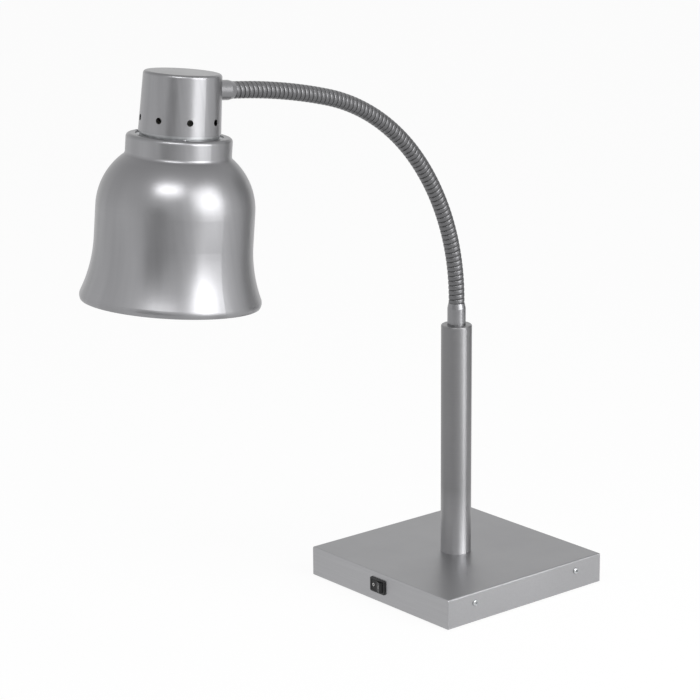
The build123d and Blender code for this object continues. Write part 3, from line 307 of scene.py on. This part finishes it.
class NodeSheet:
    """Adds shader nodes to one material or world and joins them up."""

    def __init__(self, owner):
        owner.use_nodes = True
        self.owner = owner
        self.tree = owner.node_tree
        self.shader = self.tree.nodes.get("Principled BSDF") or self.tree.nodes["Background"]

    def fill(self, socket, value):
        """Joins another node's socket to this one, or sets it to a plain value."""
        if isinstance(value, bpy.types.NodeSocket):
            self.tree.links.new(value, socket)
        else:
            socket.default_value = value

    def add(self, kind, inputs=None, **settings):
        """A new node, with its settings and what goes into its sockets."""
        node = self.tree.nodes.new(kind)
        for key, value in settings.items():
            setattr(node, key, value)
        for key, value in (inputs or {}).items():
            self.fill(node.inputs[key], value)
        return node

    def set(self, **values):
        """Fills the shader's own sockets."""
        for key, value in values.items():
            self.fill(self.shader.inputs[key.replace("_", " ")], value)

    def place(self, scale=(1, 1, 1)):
        """Object coordinates, stretched."""
        where = self.add("ShaderNodeTexCoord").outputs["Object"]
        return self.add("ShaderNodeMapping", {"Vector": where, "Scale": scale}).outputs["Vector"]

    def parts(self, vector):
        """The X, Y and Z of a vector."""
        return self.add("ShaderNodeSeparateXYZ", {"Vector": vector}).outputs

    def facing_up(self):
        """How far a face looks up, from -1 to 1."""
        return self.parts(self.add("ShaderNodeTexCoord").outputs["Normal"])["Z"]

    def combine(self, operation, first, second):
        """Adds or multiplies two values, or takes the larger."""
        return self.add("ShaderNodeMath", {0: first, 1: second}, operation=operation).outputs[0]

    def noise(self, vector, scale, detail=3.0, roughness=0.5):
        """Noise of a scale at each place."""
        inputs = {"Vector": vector, "Scale": scale, "Detail": detail, "Roughness": roughness}
        return self.add("ShaderNodeTexNoise", inputs).outputs["Fac"]

    def spread(self, value, low, high, start=NOISE_LOW, end=NOISE_HIGH):
        """Stretches a value from start..end to low..high."""
        inputs = {"Value": value, "From Min": start, "From Max": end, "To Min": low, "To Max": high}
        return self.add("ShaderNodeMapRange", inputs).outputs["Result"]

    def about(self, value, middle, swing, start=NOISE_LOW, end=NOISE_HIGH):
        """Stretches a value from start..end to a swing either side of a middle."""
        return self.spread(value, middle - swing, middle + swing, start, end)

    def mix(self, share, first, second):
        """Mixes two colours, each a plain one or another node's, by a share of the second."""
        inputs = {"Factor": share}
        for socket, colour in ((FIRST_COLOUR, first), (SECOND_COLOUR, second)):
            inputs[socket] = colour if isinstance(colour, bpy.types.NodeSocket) else (*colour, 1)
        return self.add("ShaderNodeMix", inputs, data_type="RGBA").outputs[MIXED_COLOUR]

    def bump(self, height, strength, distance):
        """A normal that rises and falls with a value."""
        inputs = {"Height": height, "Strength": strength, "Distance": distance}
        return self.add("ShaderNodeBump", inputs).outputs["Normal"]

    def white_to_camera(self, white, share, output):
        """Mixes a share of white into the shader for the rays of the camera, of gloss and of glass."""
        rays = self.add("ShaderNodeLightPath").outputs
        seen = self.combine("MAXIMUM", rays["Is Camera Ray"], rays["Is Glossy Ray"])
        seen = self.combine("MAXIMUM", seen, rays["Is Transmission Ray"])
        amount = self.combine("MULTIPLY", seen, share)
        both = self.add("ShaderNodeMixShader", {0: amount, 1: self.shader.outputs[0], 2: white})
        self.tree.links.new(both.outputs[0], self.tree.nodes[output].inputs[0])


def finish_sheet(name):
    """A sheet for a new material."""
    return NodeSheet(bpy.data.materials.new(name))


def shaded(colour, amount):
    """The colour, lighter or darker by a share."""
    return tuple(min(1.0, part * (1 + amount)) for part in colour)


def head_place(sheet):
    """Coordinates in the head's own frame: Z up its axis, from the middle of the cap's top."""
    axis, up = neck_point(LAST_RIB + HEAD_AXIS_FROM_RIBS)
    where = sheet.add("ShaderNodeTexCoord").outputs["Object"]
    inputs = {
        "Vector": where,
        "Location": axis + up * NECK_BELOW_CAP,
        "Rotation": (HEAD_TILT, 0, 0),
    }
    return sheet.add("ShaderNodeMapping", inputs, vector_type="TEXTURE").outputs["Vector"]


def spun_metal(name, colour, roughness, top, painted_shade_depth):
    """Sheet of the head, spun on a lathe and satin polished: rings, soft clouding, and streaks of
    painted reflection in its colour.

    Faces that look up carry painted shade, darkened by top, from the cap's top down to a depth.
    """
    sheet = finish_sheet(name)
    where = head_place(sheet)
    parts = sheet.parts(where)
    flat = sheet.add("ShaderNodeCombineXYZ", {"X": parts["X"], "Y": parts["Y"]}).outputs["Vector"]
    reach = sheet.add("ShaderNodeVectorMath", {0: flat}, operation="LENGTH").outputs["Value"]
    across = sheet.add("ShaderNodeCombineXYZ", {"X": reach, "Y": parts["Z"]}).outputs["Vector"]
    rings = sheet.noise(across, scale=900.0, detail=4.0)
    side = sheet.add("ShaderNodeVectorMath", {0: flat}, operation="NORMALIZE").outputs["Vector"]
    along = sheet.add("ShaderNodeVectorMath", {0: side, 1: where}, operation="ADD").outputs["Vector"]
    # Painted reflection: broad streaks make the colour lighter and darker, like the reflection bands
    # of spun metal
    painted_reflection_streaks = sheet.spread(sheet.noise(along, scale=4.0), 0.0, 1.0)
    cloud = sheet.noise(where, scale=22.0, detail=4.0)
    worn = sheet.combine("ADD", rings, cloud)
    shine = sheet.mix(painted_reflection_streaks, shaded(colour, -0.14), shaded(colour, 0.06))
    # Painted shade: faces that look up, above the given depth, are darkened by top
    upper = sheet.spread(parts["Z"], 0.0, 1.0, -painted_shade_depth - PAINTED_SHADE_FADE, -painted_shade_depth + PAINTED_SHADE_FADE)
    up = sheet.spread(sheet.facing_up(), 0.0, 1.0, start=0.1, end=0.75)
    sheet.set(
        Base_Color=sheet.mix(sheet.combine("MULTIPLY", up, upper), shine, shaded(colour, top)),
        Metallic=1.0,
        Roughness=sheet.about(worn, roughness, 0.035, start=0.7, end=1.3),
        Normal=sheet.bump(rings, strength=0.10, distance=0.00005),
    )
    return sheet.owner


def brushed_metal(name, colour, roughness, grain, top):
    """Metal brushed in one direction, with painted shade darkening its top face by top.

    grain gives how fast the lines change along X, Y and Z.
    """
    sheet = finish_sheet(name)
    lines = sheet.noise(sheet.place(grain), scale=1.0, detail=5.0, roughness=0.6)
    cloud = sheet.noise(sheet.place(), scale=16.0)
    shine = sheet.mix(lines, shaded(colour, -0.10), shaded(colour, 0.10))
    # Painted shade: the face that looks up is darkened by top
    painted_top_shade = sheet.spread(sheet.facing_up(), 0.0, 1.0, start=0.6, end=0.95)
    sheet.set(
        Base_Color=sheet.mix(painted_top_shade, shine, shaded(colour, top)),
        Metallic=1.0,
        Roughness=sheet.about(cloud, roughness, 0.03),
        Normal=sheet.bump(lines, strength=0.12, distance=0.00006),
    )
    return sheet.owner


def turned_metal(name, colour, roughness, painted_foot_light, painted_light_heights):
    """Upright tube polished on a lathe: its shine runs along it, and fine rings go round it.

    Below the first of the two heights it is lightened as painted light, which fades to plain at the
    second.
    """
    sheet = finish_sheet(name)
    ring_place = sheet.place((60.0, 60.0, 1200.0))
    rings = sheet.noise(ring_place, scale=1.0, detail=5.0, roughness=0.6)
    cloud = sheet.noise(sheet.place(), scale=16.0)
    shine = sheet.mix(rings, shaded(colour, -0.06), shaded(colour, 0.06))
    low, high = painted_light_heights
    # Painted light: the pole's foot is lightened, standing in for light from the base's top
    above = sheet.spread(sheet.parts(sheet.place())["Z"], 0.0, 1.0, start=low, end=high)
    round_it = sheet.add("ShaderNodeTangent", direction_type="RADIAL", axis="Z").outputs["Tangent"]
    sheet.set(
        Base_Color=sheet.mix(above, shaded(colour, painted_foot_light), shine),
        Metallic=1.0,
        Roughness=sheet.about(cloud, roughness, 0.03),
        Anisotropic=0.6,
        Anisotropic_Rotation=0.25,
        Tangent=round_it,
        Normal=sheet.bump(rings, strength=0.05, distance=0.00005),
    )
    return sheet.owner


def plated_metal(name, colour, roughness, worn=1.0):
    """Zinc plate, brass or bright metal: faint mottling and fine scratches."""
    sheet = finish_sheet(name)
    mottle = sheet.noise(sheet.place(), scale=260.0, detail=4.0)
    sheet.set(
        Base_Color=sheet.mix(mottle, shaded(colour, -0.15 * worn), shaded(colour, 0.12 * worn)),
        Metallic=1.0,
        Roughness=sheet.spread(mottle, roughness - 0.05 * worn, roughness + 0.07 * worn),
        Normal=sheet.bump(mottle, strength=0.12 * worn, distance=0.00008),
    )
    return sheet.owner


def grainy_surface(name, colour, roughness, scale, depth, metallic=0.0, coat=0.0, specular=0.5):
    """Moulded plastic, rubber, porcelain or cast iron: a fine grain of its own scale and depth."""
    sheet = finish_sheet(name)
    grain = sheet.noise(sheet.place(), scale, detail=5.0, roughness=0.6)
    cloud = sheet.noise(sheet.place(), scale / 12)
    sheet.set(
        Base_Color=sheet.mix(cloud, shaded(colour, -0.12), shaded(colour, 0.12)),
        Metallic=metallic,
        Roughness=sheet.about(grain, roughness, 0.06),
        Coat_Weight=coat,
        Specular_IOR_Level=specular,
        Normal=sheet.bump(grain, strength=0.3, distance=depth),
    )
    return sheet.owner


def dress(material, *names):
    """Gives CAD nodes one material in place of the plain one."""
    for name in names:
        slots = nodes[name].data.materials
        slots.clear()
        slots.append(material)


def mesh_piece(name, points, faces, smooth=True):
    """A mesh object from points and faces, linked to the scene."""
    mesh = bpy.data.meshes.new(name)
    mesh.from_pydata(points, [], faces)
    mesh.validate()
    for face in mesh.polygons:
        face.use_smooth = smooth
    piece = bpy.data.objects.new(name, mesh)
    bpy.context.scene.collection.objects.link(piece)
    return piece


class LAMP_OT_neck(bpy.types.Operator):
    """Winds the spiral neck, in seven pieces split at the middles of the CAD's links"""

    bl_idname = "lamp.neck"
    bl_label = "Neck"

    bore_rings = 4

    def off_crest(self, distance, turn):
        """How far a point is from the crest of its turn of the spiral: 0 on it, 1 in the groove."""
        phase = (distance - FIRST_RIB) / RIB_PITCH - turn
        return abs(2 * (phase % 1.0) - 1)

    def radius(self, distance, turn, sizes):
        """Radius of the spiral: a rounded crest between two narrow grooves, and plain ends."""
        if distance < FIRST_RIB or distance > LAST_RIB:
            return sizes.root
        swell = (1 - self.off_crest(distance, turn) ** 4) ** 0.5
        return sizes.root + (sizes.crest - sizes.root) * swell

    def ring(self, distance, radii):
        """Points round the centre line at a distance along it, at these radii."""
        centre, outward = neck_point(distance)
        across = Vector((1, 0, 0))
        points = []
        for number, radius in enumerate(radii):
            angle = 2 * pi * number / len(radii)
            points.append(centre + (across * cos(angle) + outward * sin(angle)) * radius)
        return points

    def wind(self, name, first, last, sizes):
        """One closed piece of the spiral tube between two distances along the neck."""
        facets = sizes.facets
        length = last - first
        outer_steps = max(1, round(length / RIB_PITCH * sizes.steps))
        points = []
        for step in range(outer_steps + 1):
            distance = first + length * step / outer_steps
            radii = [self.radius(distance, number / facets, sizes) for number in range(facets)]
            points += self.ring(distance, radii)
        for step in range(self.bore_rings + 1):
            distance = last - length * step / self.bore_rings
            points += self.ring(distance, [sizes.bore] * facets)
        rings = len(points) // facets
        faces = []
        for ring in range(rings):
            below = ring * facets
            above = (ring + 1) % rings * facets
            for number in range(facets):
                beside = (number + 1) % facets
                faces.append((below + number, below + beside, above + beside, above + number))
        piece = mesh_piece(name, points, faces)
        for face in piece.data.polygons:
            ring, number = divmod(face.index, facets)
            distance = first + length * (ring + 0.5) / outer_steps
            # Faces deep in a groove, and every face of the bore, take the second material: painted
            # shade
            in_groove = self.off_crest(distance, (number + 0.5) / facets) > sizes.painted_groove_shade
            face.material_index = int(in_groove or ring >= outer_steps)
        return piece

    def execute(self, context):
        sizes = context.scene.lamp_neck
        colour = context.scene.lamp_finish.neck
        bright = plated_metal("neck_bright", colour, roughness=0.36, worn=0.4)
        # The second material is the neck's colour darkened, as painted shade in the grooves and the
        # bore
        painted_groove_shade = grainy_surface(
            "neck_painted_groove_shade", shaded(colour, -0.8), roughness=0.6, scale=900.0, depth=0.00002
        )
        bodies = ["stand", *numbered("neck"), "head"]
        rows = ["neck_lower_end", *numbered("neck_link"), "neck_upper_end"]
        pivots = [
            FIRST_RIB + (RIBS_AT_END + RIBS_PER_LINK * number) * RIB_PITCH
            for number in range(LINKS + 1)
        ]
        middles = [(lower + upper) / 2 for lower, upper in zip(pivots[:-1], pivots[1:])]
        starts = [FIRST_RIB - SLEEVE, *middles]
        ends = [*middles, LAST_RIB + SLEEVE]
        reach = BENDING_SHARE * RIBS_PER_LINK * RIB_PITCH
        for number, (first, last) in enumerate(zip(starts, ends)):
            piece = self.wind(f"neck_spiral_{number + 1}", first, last, sizes)
            piece.data.materials.append(bright)
            piece.data.materials.append(painted_groove_shade)
            low = neck_point(max(pivots[number] - reach, FIRST_RIB))[0]
            high = neck_point(min(pivots[number] + reach, LAST_RIB))[0]
            sides = [(bodies[number], low), (bodies[number + 1], high)]
            if number == BLENDED_FROM_ABOVE:
                sides.reverse()
            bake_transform(piece)
            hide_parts(rows[number], *([rows[-1]] if number == LINKS else []))
        return {"FINISHED"}


class LAMP_OT_head(bpy.types.Operator):
    """Finishes the shade, the cap and what holds them"""

    bl_idname = "lamp.head"
    bl_label = "Shade and cap"

    def execute(self, context):
        finish = context.scene.lamp_finish
        # The shade's and the cap's upward faces are darkened by top as painted shade
        shade = spun_metal(
            "shade_satin", finish.shade, roughness=0.33, top=-0.34, painted_shade_depth=0.13
        )
        dress(shade, "bell_shade")
        cap = spun_metal("cap_satin", finish.shade, roughness=0.31, top=-0.40, painted_shade_depth=0.10)
        dress(cap, "cap")
        bright = plated_metal(
            "ferrule_bright", shaded(finish.shade, -0.2), roughness=0.3, worn=0.2
        )
        dress(bright, "upper_ferrule", "lower_ferrule")
        rivets = plated_metal("rivet_bright", shaded(finish.shade, 0.8), roughness=0.25)
        dress(rivets, "shade_rivets")
        zinc = plated_metal("head_zinc", finish.zinc, roughness=0.35)
        dress(zinc, "shade_ring", "holder_bracket")
        screws = plated_metal("head_screw_zinc", finish.zinc, roughness=0.25)
        dress(screws, "ring_screws", "holder_screws", "ferrule_nut")
        return {"FINISHED"}


class LAMP_OT_bulb(bpy.types.Operator):
    """Finishes the reflector bulb and its porcelain holder"""

    bl_idname = "lamp.bulb"
    bl_label = "Bulb and holder"

    silver_end: bpy.props.FloatProperty(
        name="Silver end",
        description="Depth below the cap's top where the mirror ends",
        default=0.176,
        unit="LENGTH",
    )
    silver_fade: bpy.props.FloatProperty(
        name="Silver fade",
        description="Half the width of the band where the mirror fades into the ruby",
        default=0.001,
        unit="LENGTH",
    )

    def bulb_glass(self, colour):
        """Mirrored sides, and a ruby face below them."""
        sheet = finish_sheet("bulb_ruby")
        where = head_place(sheet)
        height = sheet.parts(where)["Z"]
        silver = sheet.spread(
            height, 0.0, 1.0, -self.silver_end - self.silver_fade, -self.silver_end + self.silver_fade
        )
        cloud = sheet.noise(where, scale=60.0)
        sheet.set(
            Base_Color=sheet.mix(silver, colour, MIRROR),
            Metallic=silver,
            Roughness=sheet.spread(cloud, 0.08, 0.14),
            Coat_Weight=0.6,
            Coat_Roughness=0.05,
            Normal=sheet.bump(cloud, strength=0.05, distance=0.0002),
        )
        return sheet.owner

    def execute(self, context):
        dress(self.bulb_glass(context.scene.lamp_finish.glass), "bulb_glass")
        brass = plated_metal("bulb_brass", BULB_BRASS, roughness=0.3)
        dress(brass, "bulb_screw_cap", "bulb_contact", "holder_shell")
        terminals = plated_metal("terminal_brass", TERMINAL_BRASS, roughness=0.28)
        dress(terminals, "holder_contact", "holder_terminals")
        porcelain = grainy_surface(
            "holder_porcelain", PORCELAIN, roughness=0.18, scale=140.0, depth=0.00006, coat=0.5
        )
        dress(porcelain, "lamp_holder")
        dress(plated_metal("filament_wire", FILAMENT, roughness=0.35), "filament_mount")
        return {"FINISHED"}


class LAMP_OT_base(bpy.types.Operator):
    """Finishes the base, the pole and the fasteners that show"""

    bl_idname = "lamp.base"
    bl_label = "Base and pole"

    def execute(self, context):
        finish = context.scene.lamp_finish
        # The housing's top face is darkened by top as painted shade
        housing = brushed_metal(
            "housing_brushed", finish.base, roughness=0.36, grain=(14.0, 900.0, 900.0), top=-0.28
        )
        dress(housing, "base_housing")
        # The pole's foot is lightened as painted light up to the given heights
        pole = turned_metal(
            "pole_satin", finish.pole, roughness=0.4, painted_foot_light=0.9, painted_light_heights=(0.035, 0.105)
        )
        dress(pole, "pole_tube", "pole_cap")
        zinc = plated_metal("zinc_plate", finish.zinc, roughness=0.35)
        dress(zinc, "bottom_plate", "stiffener_plate", "pole_plug")
        dress(zinc, "hollow_stud", "stud_washer", "stud_nut")
        screws = plated_metal("screw_zinc", shaded(finish.zinc, 0.05), roughness=0.2)
        dress(screws, "side_screws", "side_nuts", "ballast_screws")
        iron = grainy_surface(
            "ballast_cast", CAST_IRON, roughness=0.65, scale=420.0, depth=0.0004, metallic=0.4
        )
        dress(iron, "ballast_plate")
        pad = grainy_surface("pad_rubber", PAD_RUBBER, roughness=0.75, scale=700.0, depth=0.0002)
        dress(pad, "anti_slip_pad")
        return {"FINISHED"}


class LAMP_OT_wiring(bpy.types.Operator):
    """Finishes the lead, the wires, the terminal block and the cable gland"""

    bl_idname = "lamp.wiring"
    bl_label = "Wiring"

    def execute(self, context):
        rubber = grainy_surface(
            "lead_rubber", LEAD_RUBBER, roughness=0.6, scale=900.0, depth=0.0001
        )
        dress(rubber, "stand_lead", "head_lead", "gland_seal", *numbered("lead_link"))
        wires = grainy_surface("wire_cover", WIRE_COVER, roughness=0.4, scale=500.0, depth=0.00004)
        dress(wires, "base_wires", "head_wires")
        gland = grainy_surface(
            "gland_nylon", GLAND_NYLON, roughness=0.45, scale=800.0, depth=0.0001
        )
        dress(gland, "cable_gland", "gland_nut")
        block = grainy_surface("block_nylon", BLOCK_NYLON, roughness=0.5, scale=500.0, depth=0.0001)
        dress(block, "terminal_block")
        brass = plated_metal("clamp_brass", TERMINAL_BRASS, roughness=0.3)
        dress(brass, "clamp_screws", "earth_screw", "switch_contacts")
        dress(plated_metal("block_screw_zinc", BLOCK_SCREW, roughness=0.3), "block_screws")
        return {"FINISHED"}


class LAMP_OT_switch(bpy.types.Operator):
    """Finishes the switch and prints the off and on marks on the rocker"""

    bl_idname = "lamp.switch"
    bl_label = "Switch"

    print_depth: bpy.props.FloatProperty(
        name="Print thickness",
        description="How far the print stands off the rocker",
        default=0.00004,
        unit="LENGTH",
    )

    def slab(self, name, outline, hole, along, lean):
        """A thin plate on a face of the rocker, at a place along the face, which leans.

        hole has as many points as outline, or none.
        """
        valley = ROCKER_PIVOT + Vector((-ROCKER_VALLEY * VALLEY_LEAN, -ROCKER_VALLEY, 0))
        run = Vector((cos(lean), -sin(lean), 0))
        up = Vector((0, 0, 1))
        middle = valley + run * along
        top = Vector((-sin(lean), -cos(lean), 0)) * self.print_depth
        points = []
        for loop in (outline, hole):
            for side in (top, -top):
                points += [middle + run * x + up * z + side for x, z in loop]
        count = len(outline)
        faces = []
        for number in range(count):
            beside = (number + 1) % count
            faces.append((number, number + count, beside + count, beside))
            if hole:
                inner, inner_beside = number + 2 * count, beside + 2 * count
                faces.append((number, beside, inner_beside, inner))
                faces.append((inner, inner_beside, inner_beside + count, inner + count))
                faces.append((number + count, inner + count, inner_beside + count, beside + count))
        if not hole:
            faces.append(tuple(range(count)))
            faces.append(tuple(reversed(range(count, 2 * count))))
        return mesh_piece(name, points, faces, smooth=False)

    def circle(self, radius):
        """Points round a circle."""
        angles = [2 * pi * number / OFF_POINTS for number in range(OFF_POINTS)]
        return [(radius * cos(angle), radius * sin(angle)) for angle in angles]

    def execute(self, context):
        finish = context.scene.lamp_finish
        housing = grainy_surface(
            "switch_black", finish.switch, roughness=0.32, scale=900.0, depth=0.00005, specular=0.35
        )
        dress(housing, "switch_housing")
        rocker = grainy_surface(
            "rocker_black", finish.switch, roughness=0.3, scale=900.0, depth=0.00004, specular=0.25
        )
        dress(rocker, "rocker")
        ink = grainy_surface("mark_white", finish.marks, roughness=0.5, scale=900.0, depth=0.00002)
        off_mark = self.slab(
            "mark_off",
            self.circle(OFF_OUTER_RADIUS),
            self.circle(OFF_INNER_RADIUS),
            along=OFF_PLACE,
            lean=0.0,
        )
        bar = [
            (-ON_HALF_WIDTH, -ON_HALF_HEIGHT),
            (ON_HALF_WIDTH, -ON_HALF_HEIGHT),
            (ON_HALF_WIDTH, ON_HALF_HEIGHT),
            (-ON_HALF_WIDTH, ON_HALF_HEIGHT),
        ]
        on_mark = self.slab("mark_on", bar, [], along=ON_PLACE, lean=ROCKER_LEAN)
        for mark in (off_mark, on_mark):
            mark.data.materials.append(ink)
            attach(mark, "rocker")
        return {"FINISHED"}


class LAMP_OT_stage(bpy.types.Operator):
    """Sets up the camera, the pale floor and the soft lamps"""

    bl_idname = "lamp.stage"
    bl_label = "Stage"

    # Corners of the two grey boards, along them and up
    front_corners = ((-0.55, 0), (0.55, 0), (0.55, 0.4), (0.12, 0.4), (0.12, 0.8), (-0.55, 0.8))
    rear_corners = ((-0.27, 0), (0.27, 0), (0.27, 0.95), (-0.27, 0.95))

    def set_camera(self, scene, settings):
        """The camera, at the angle of the photograph."""
        data = bpy.data.cameras.new("camera")
        data.sensor_width = SENSOR_WIDTH
        data.lens = settings.lens
        data.clip_end = VIEW_END
        camera = bpy.data.objects.new("camera", data)
        camera.location = settings.camera
        camera.rotation_euler = settings.turn
        scene.collection.objects.link(camera)
        scene.camera = camera

    def set_world(self, scene, settings):
        """Plain light from all round, which shows as white."""
        scene.world = bpy.data.worlds.new("studio")
        sheet = NodeSheet(scene.world)
        sheet.set(Color=WHITE, Strength=settings.world)
        white = sheet.add("ShaderNodeBackground", {"Color": WHITE}).outputs[0]
        sheet.white_to_camera(white, 1.0, "World Output")

    def floor(self, settings):
        """The pale floor, which shows nearly white and keeps a shadow."""
        sheet = finish_sheet("floor_pale")
        sheet.set(Base_Color=(*settings.floor, 1), Roughness=0.9, Specular_IOR_Level=0.1)
        glow = sheet.add("ShaderNodeEmission").outputs[0]
        sheet.white_to_camera(glow, settings.floor_white, "Material Output")
        corners = [(-1, -1), (1, -1), (1, 1), (-1, 1)]
        points = [(x * FLOOR_HALF, y * FLOOR_HALF, 0) for x, y in corners]
        piece = mesh_piece("floor", points, [(0, 1, 2, 3)], smooth=False)
        piece.data.materials.append(sheet.owner)
        return piece

    def screen(self, name, middle, run, corners, grey):
        """A grey board out of the picture, which only the metal shows."""
        points = [
            Vector(middle) + Vector(run) * along + Vector((0, 0, height))
            for along, height in corners
        ]
        board = mesh_piece(name, points, [tuple(range(len(points)))], smooth=False)
        felt = grainy_surface(
            f"{name}_felt", (grey, grey, grey), roughness=0.9, scale=200.0, depth=0.001
        )
        board.data.materials.append(felt)
        board.visible_camera = False
        board.visible_shadow = False
        return board

    def soft_lamp(self, name, power, place, aim, size, spread=180):
        """A lamp with a soft flat face that looks at a point, with its spread in degrees."""
        data = bpy.data.lights.new(name, "AREA")
        data.shape = "RECTANGLE"
        data.size, data.size_y = size
        data.spread = radians(spread)
        data.energy = power
        lamp = bpy.data.objects.new(name, data)
        lamp.location = place
        lamp.rotation_euler = (Vector(aim) - Vector(place)).to_track_quat("-Z", "Y").to_euler()
        bpy.context.scene.collection.objects.link(lamp)

    def execute(self, context):
        scene = context.scene
        settings = scene.lamp_stage
        self.set_camera(scene, settings)
        self.set_world(scene, settings)
        floor = self.floor(settings)
        front = self.screen(
            "front_screen",
            middle=(0.80, -1.364, 0),
            run=(0.788, 0.616, 0),
            corners=self.front_corners,
            grey=0.65,
        )
        rear = self.screen(
            "rear_screen", middle=(0.06, 0.84, 0), run=(1, 0, 0), corners=self.rear_corners, grey=0.45
        )
        self.soft_lamp(
            "tall_lamp", settings.tall, place=(1.75, 0.15, 1.35), aim=(0, -0.34, 1.1), size=(1.3, 1.3)
        )
        self.soft_lamp(
            "low_lamp", settings.low, place=(1.75, 0.15, 0.4), aim=(0, -0.34, 0.4), size=(1.1, 0.6)
        )
        self.soft_lamp(
            "front_lamp",
            settings.front,
            place=(0.99, -1.37, 1.95),
            aim=(0, -0.34, 0.5),
            size=(1.2, 0.5),
        )
        self.soft_lamp(
            "near_lamp",
            settings.near,
            place=(0.70, 0.25, 0.2),
            aim=(0, 0, 0.15),
            size=(0.3, 0.36),
            spread=40,
        )
        scene.view_settings.view_transform = "Standard"
        return {"FINISHED"}


class LAMP_PT_panel(bpy.types.Panel):
    """Buttons and settings of the lamp"""

    bl_idname = "LAMP_PT_panel"
    bl_label = "Warming Lamp"
    bl_space_type = "VIEW_3D"
    bl_region_type = "UI"
    bl_category = "Warming Lamp"

    def draw(self, context):
        for name in GROUPS:
            group = getattr(context.scene, name)
            box = self.layout.box()
            for key in group.__annotations__:
                box.prop(group, key)
        for step in STEPS:
            self.layout.operator(f"lamp.{step}")


GROUPS = {"lamp_neck": LampNeck, "lamp_finish": LampFinish, "lamp_stage": LampStage}
STEPS = ("stage", "neck", "head", "bulb", "base", "wiring", "switch")
CLASSES = (
    LampNeck,
    LampFinish,
    LampStage,
    LAMP_OT_stage,
    LAMP_OT_neck,
    LAMP_OT_head,
    LAMP_OT_bulb,
    LAMP_OT_base,
    LAMP_OT_wiring,
    LAMP_OT_switch,
    LAMP_PT_panel,
)


def register():
    for cls in CLASSES:
        bpy.utils.register_class(cls)
    for name, group in GROUPS.items():
        setattr(bpy.types.Scene, name, bpy.props.PointerProperty(type=group))


def unregister():
    for name in GROUPS:
        delattr(bpy.types.Scene, name)
    for cls in reversed(CLASSES):
        bpy.utils.unregister_class(cls)


def main():
    register()
    for step in STEPS:
        getattr(bpy.ops.lamp, step)()


if __name__ == "__main__":
    main()
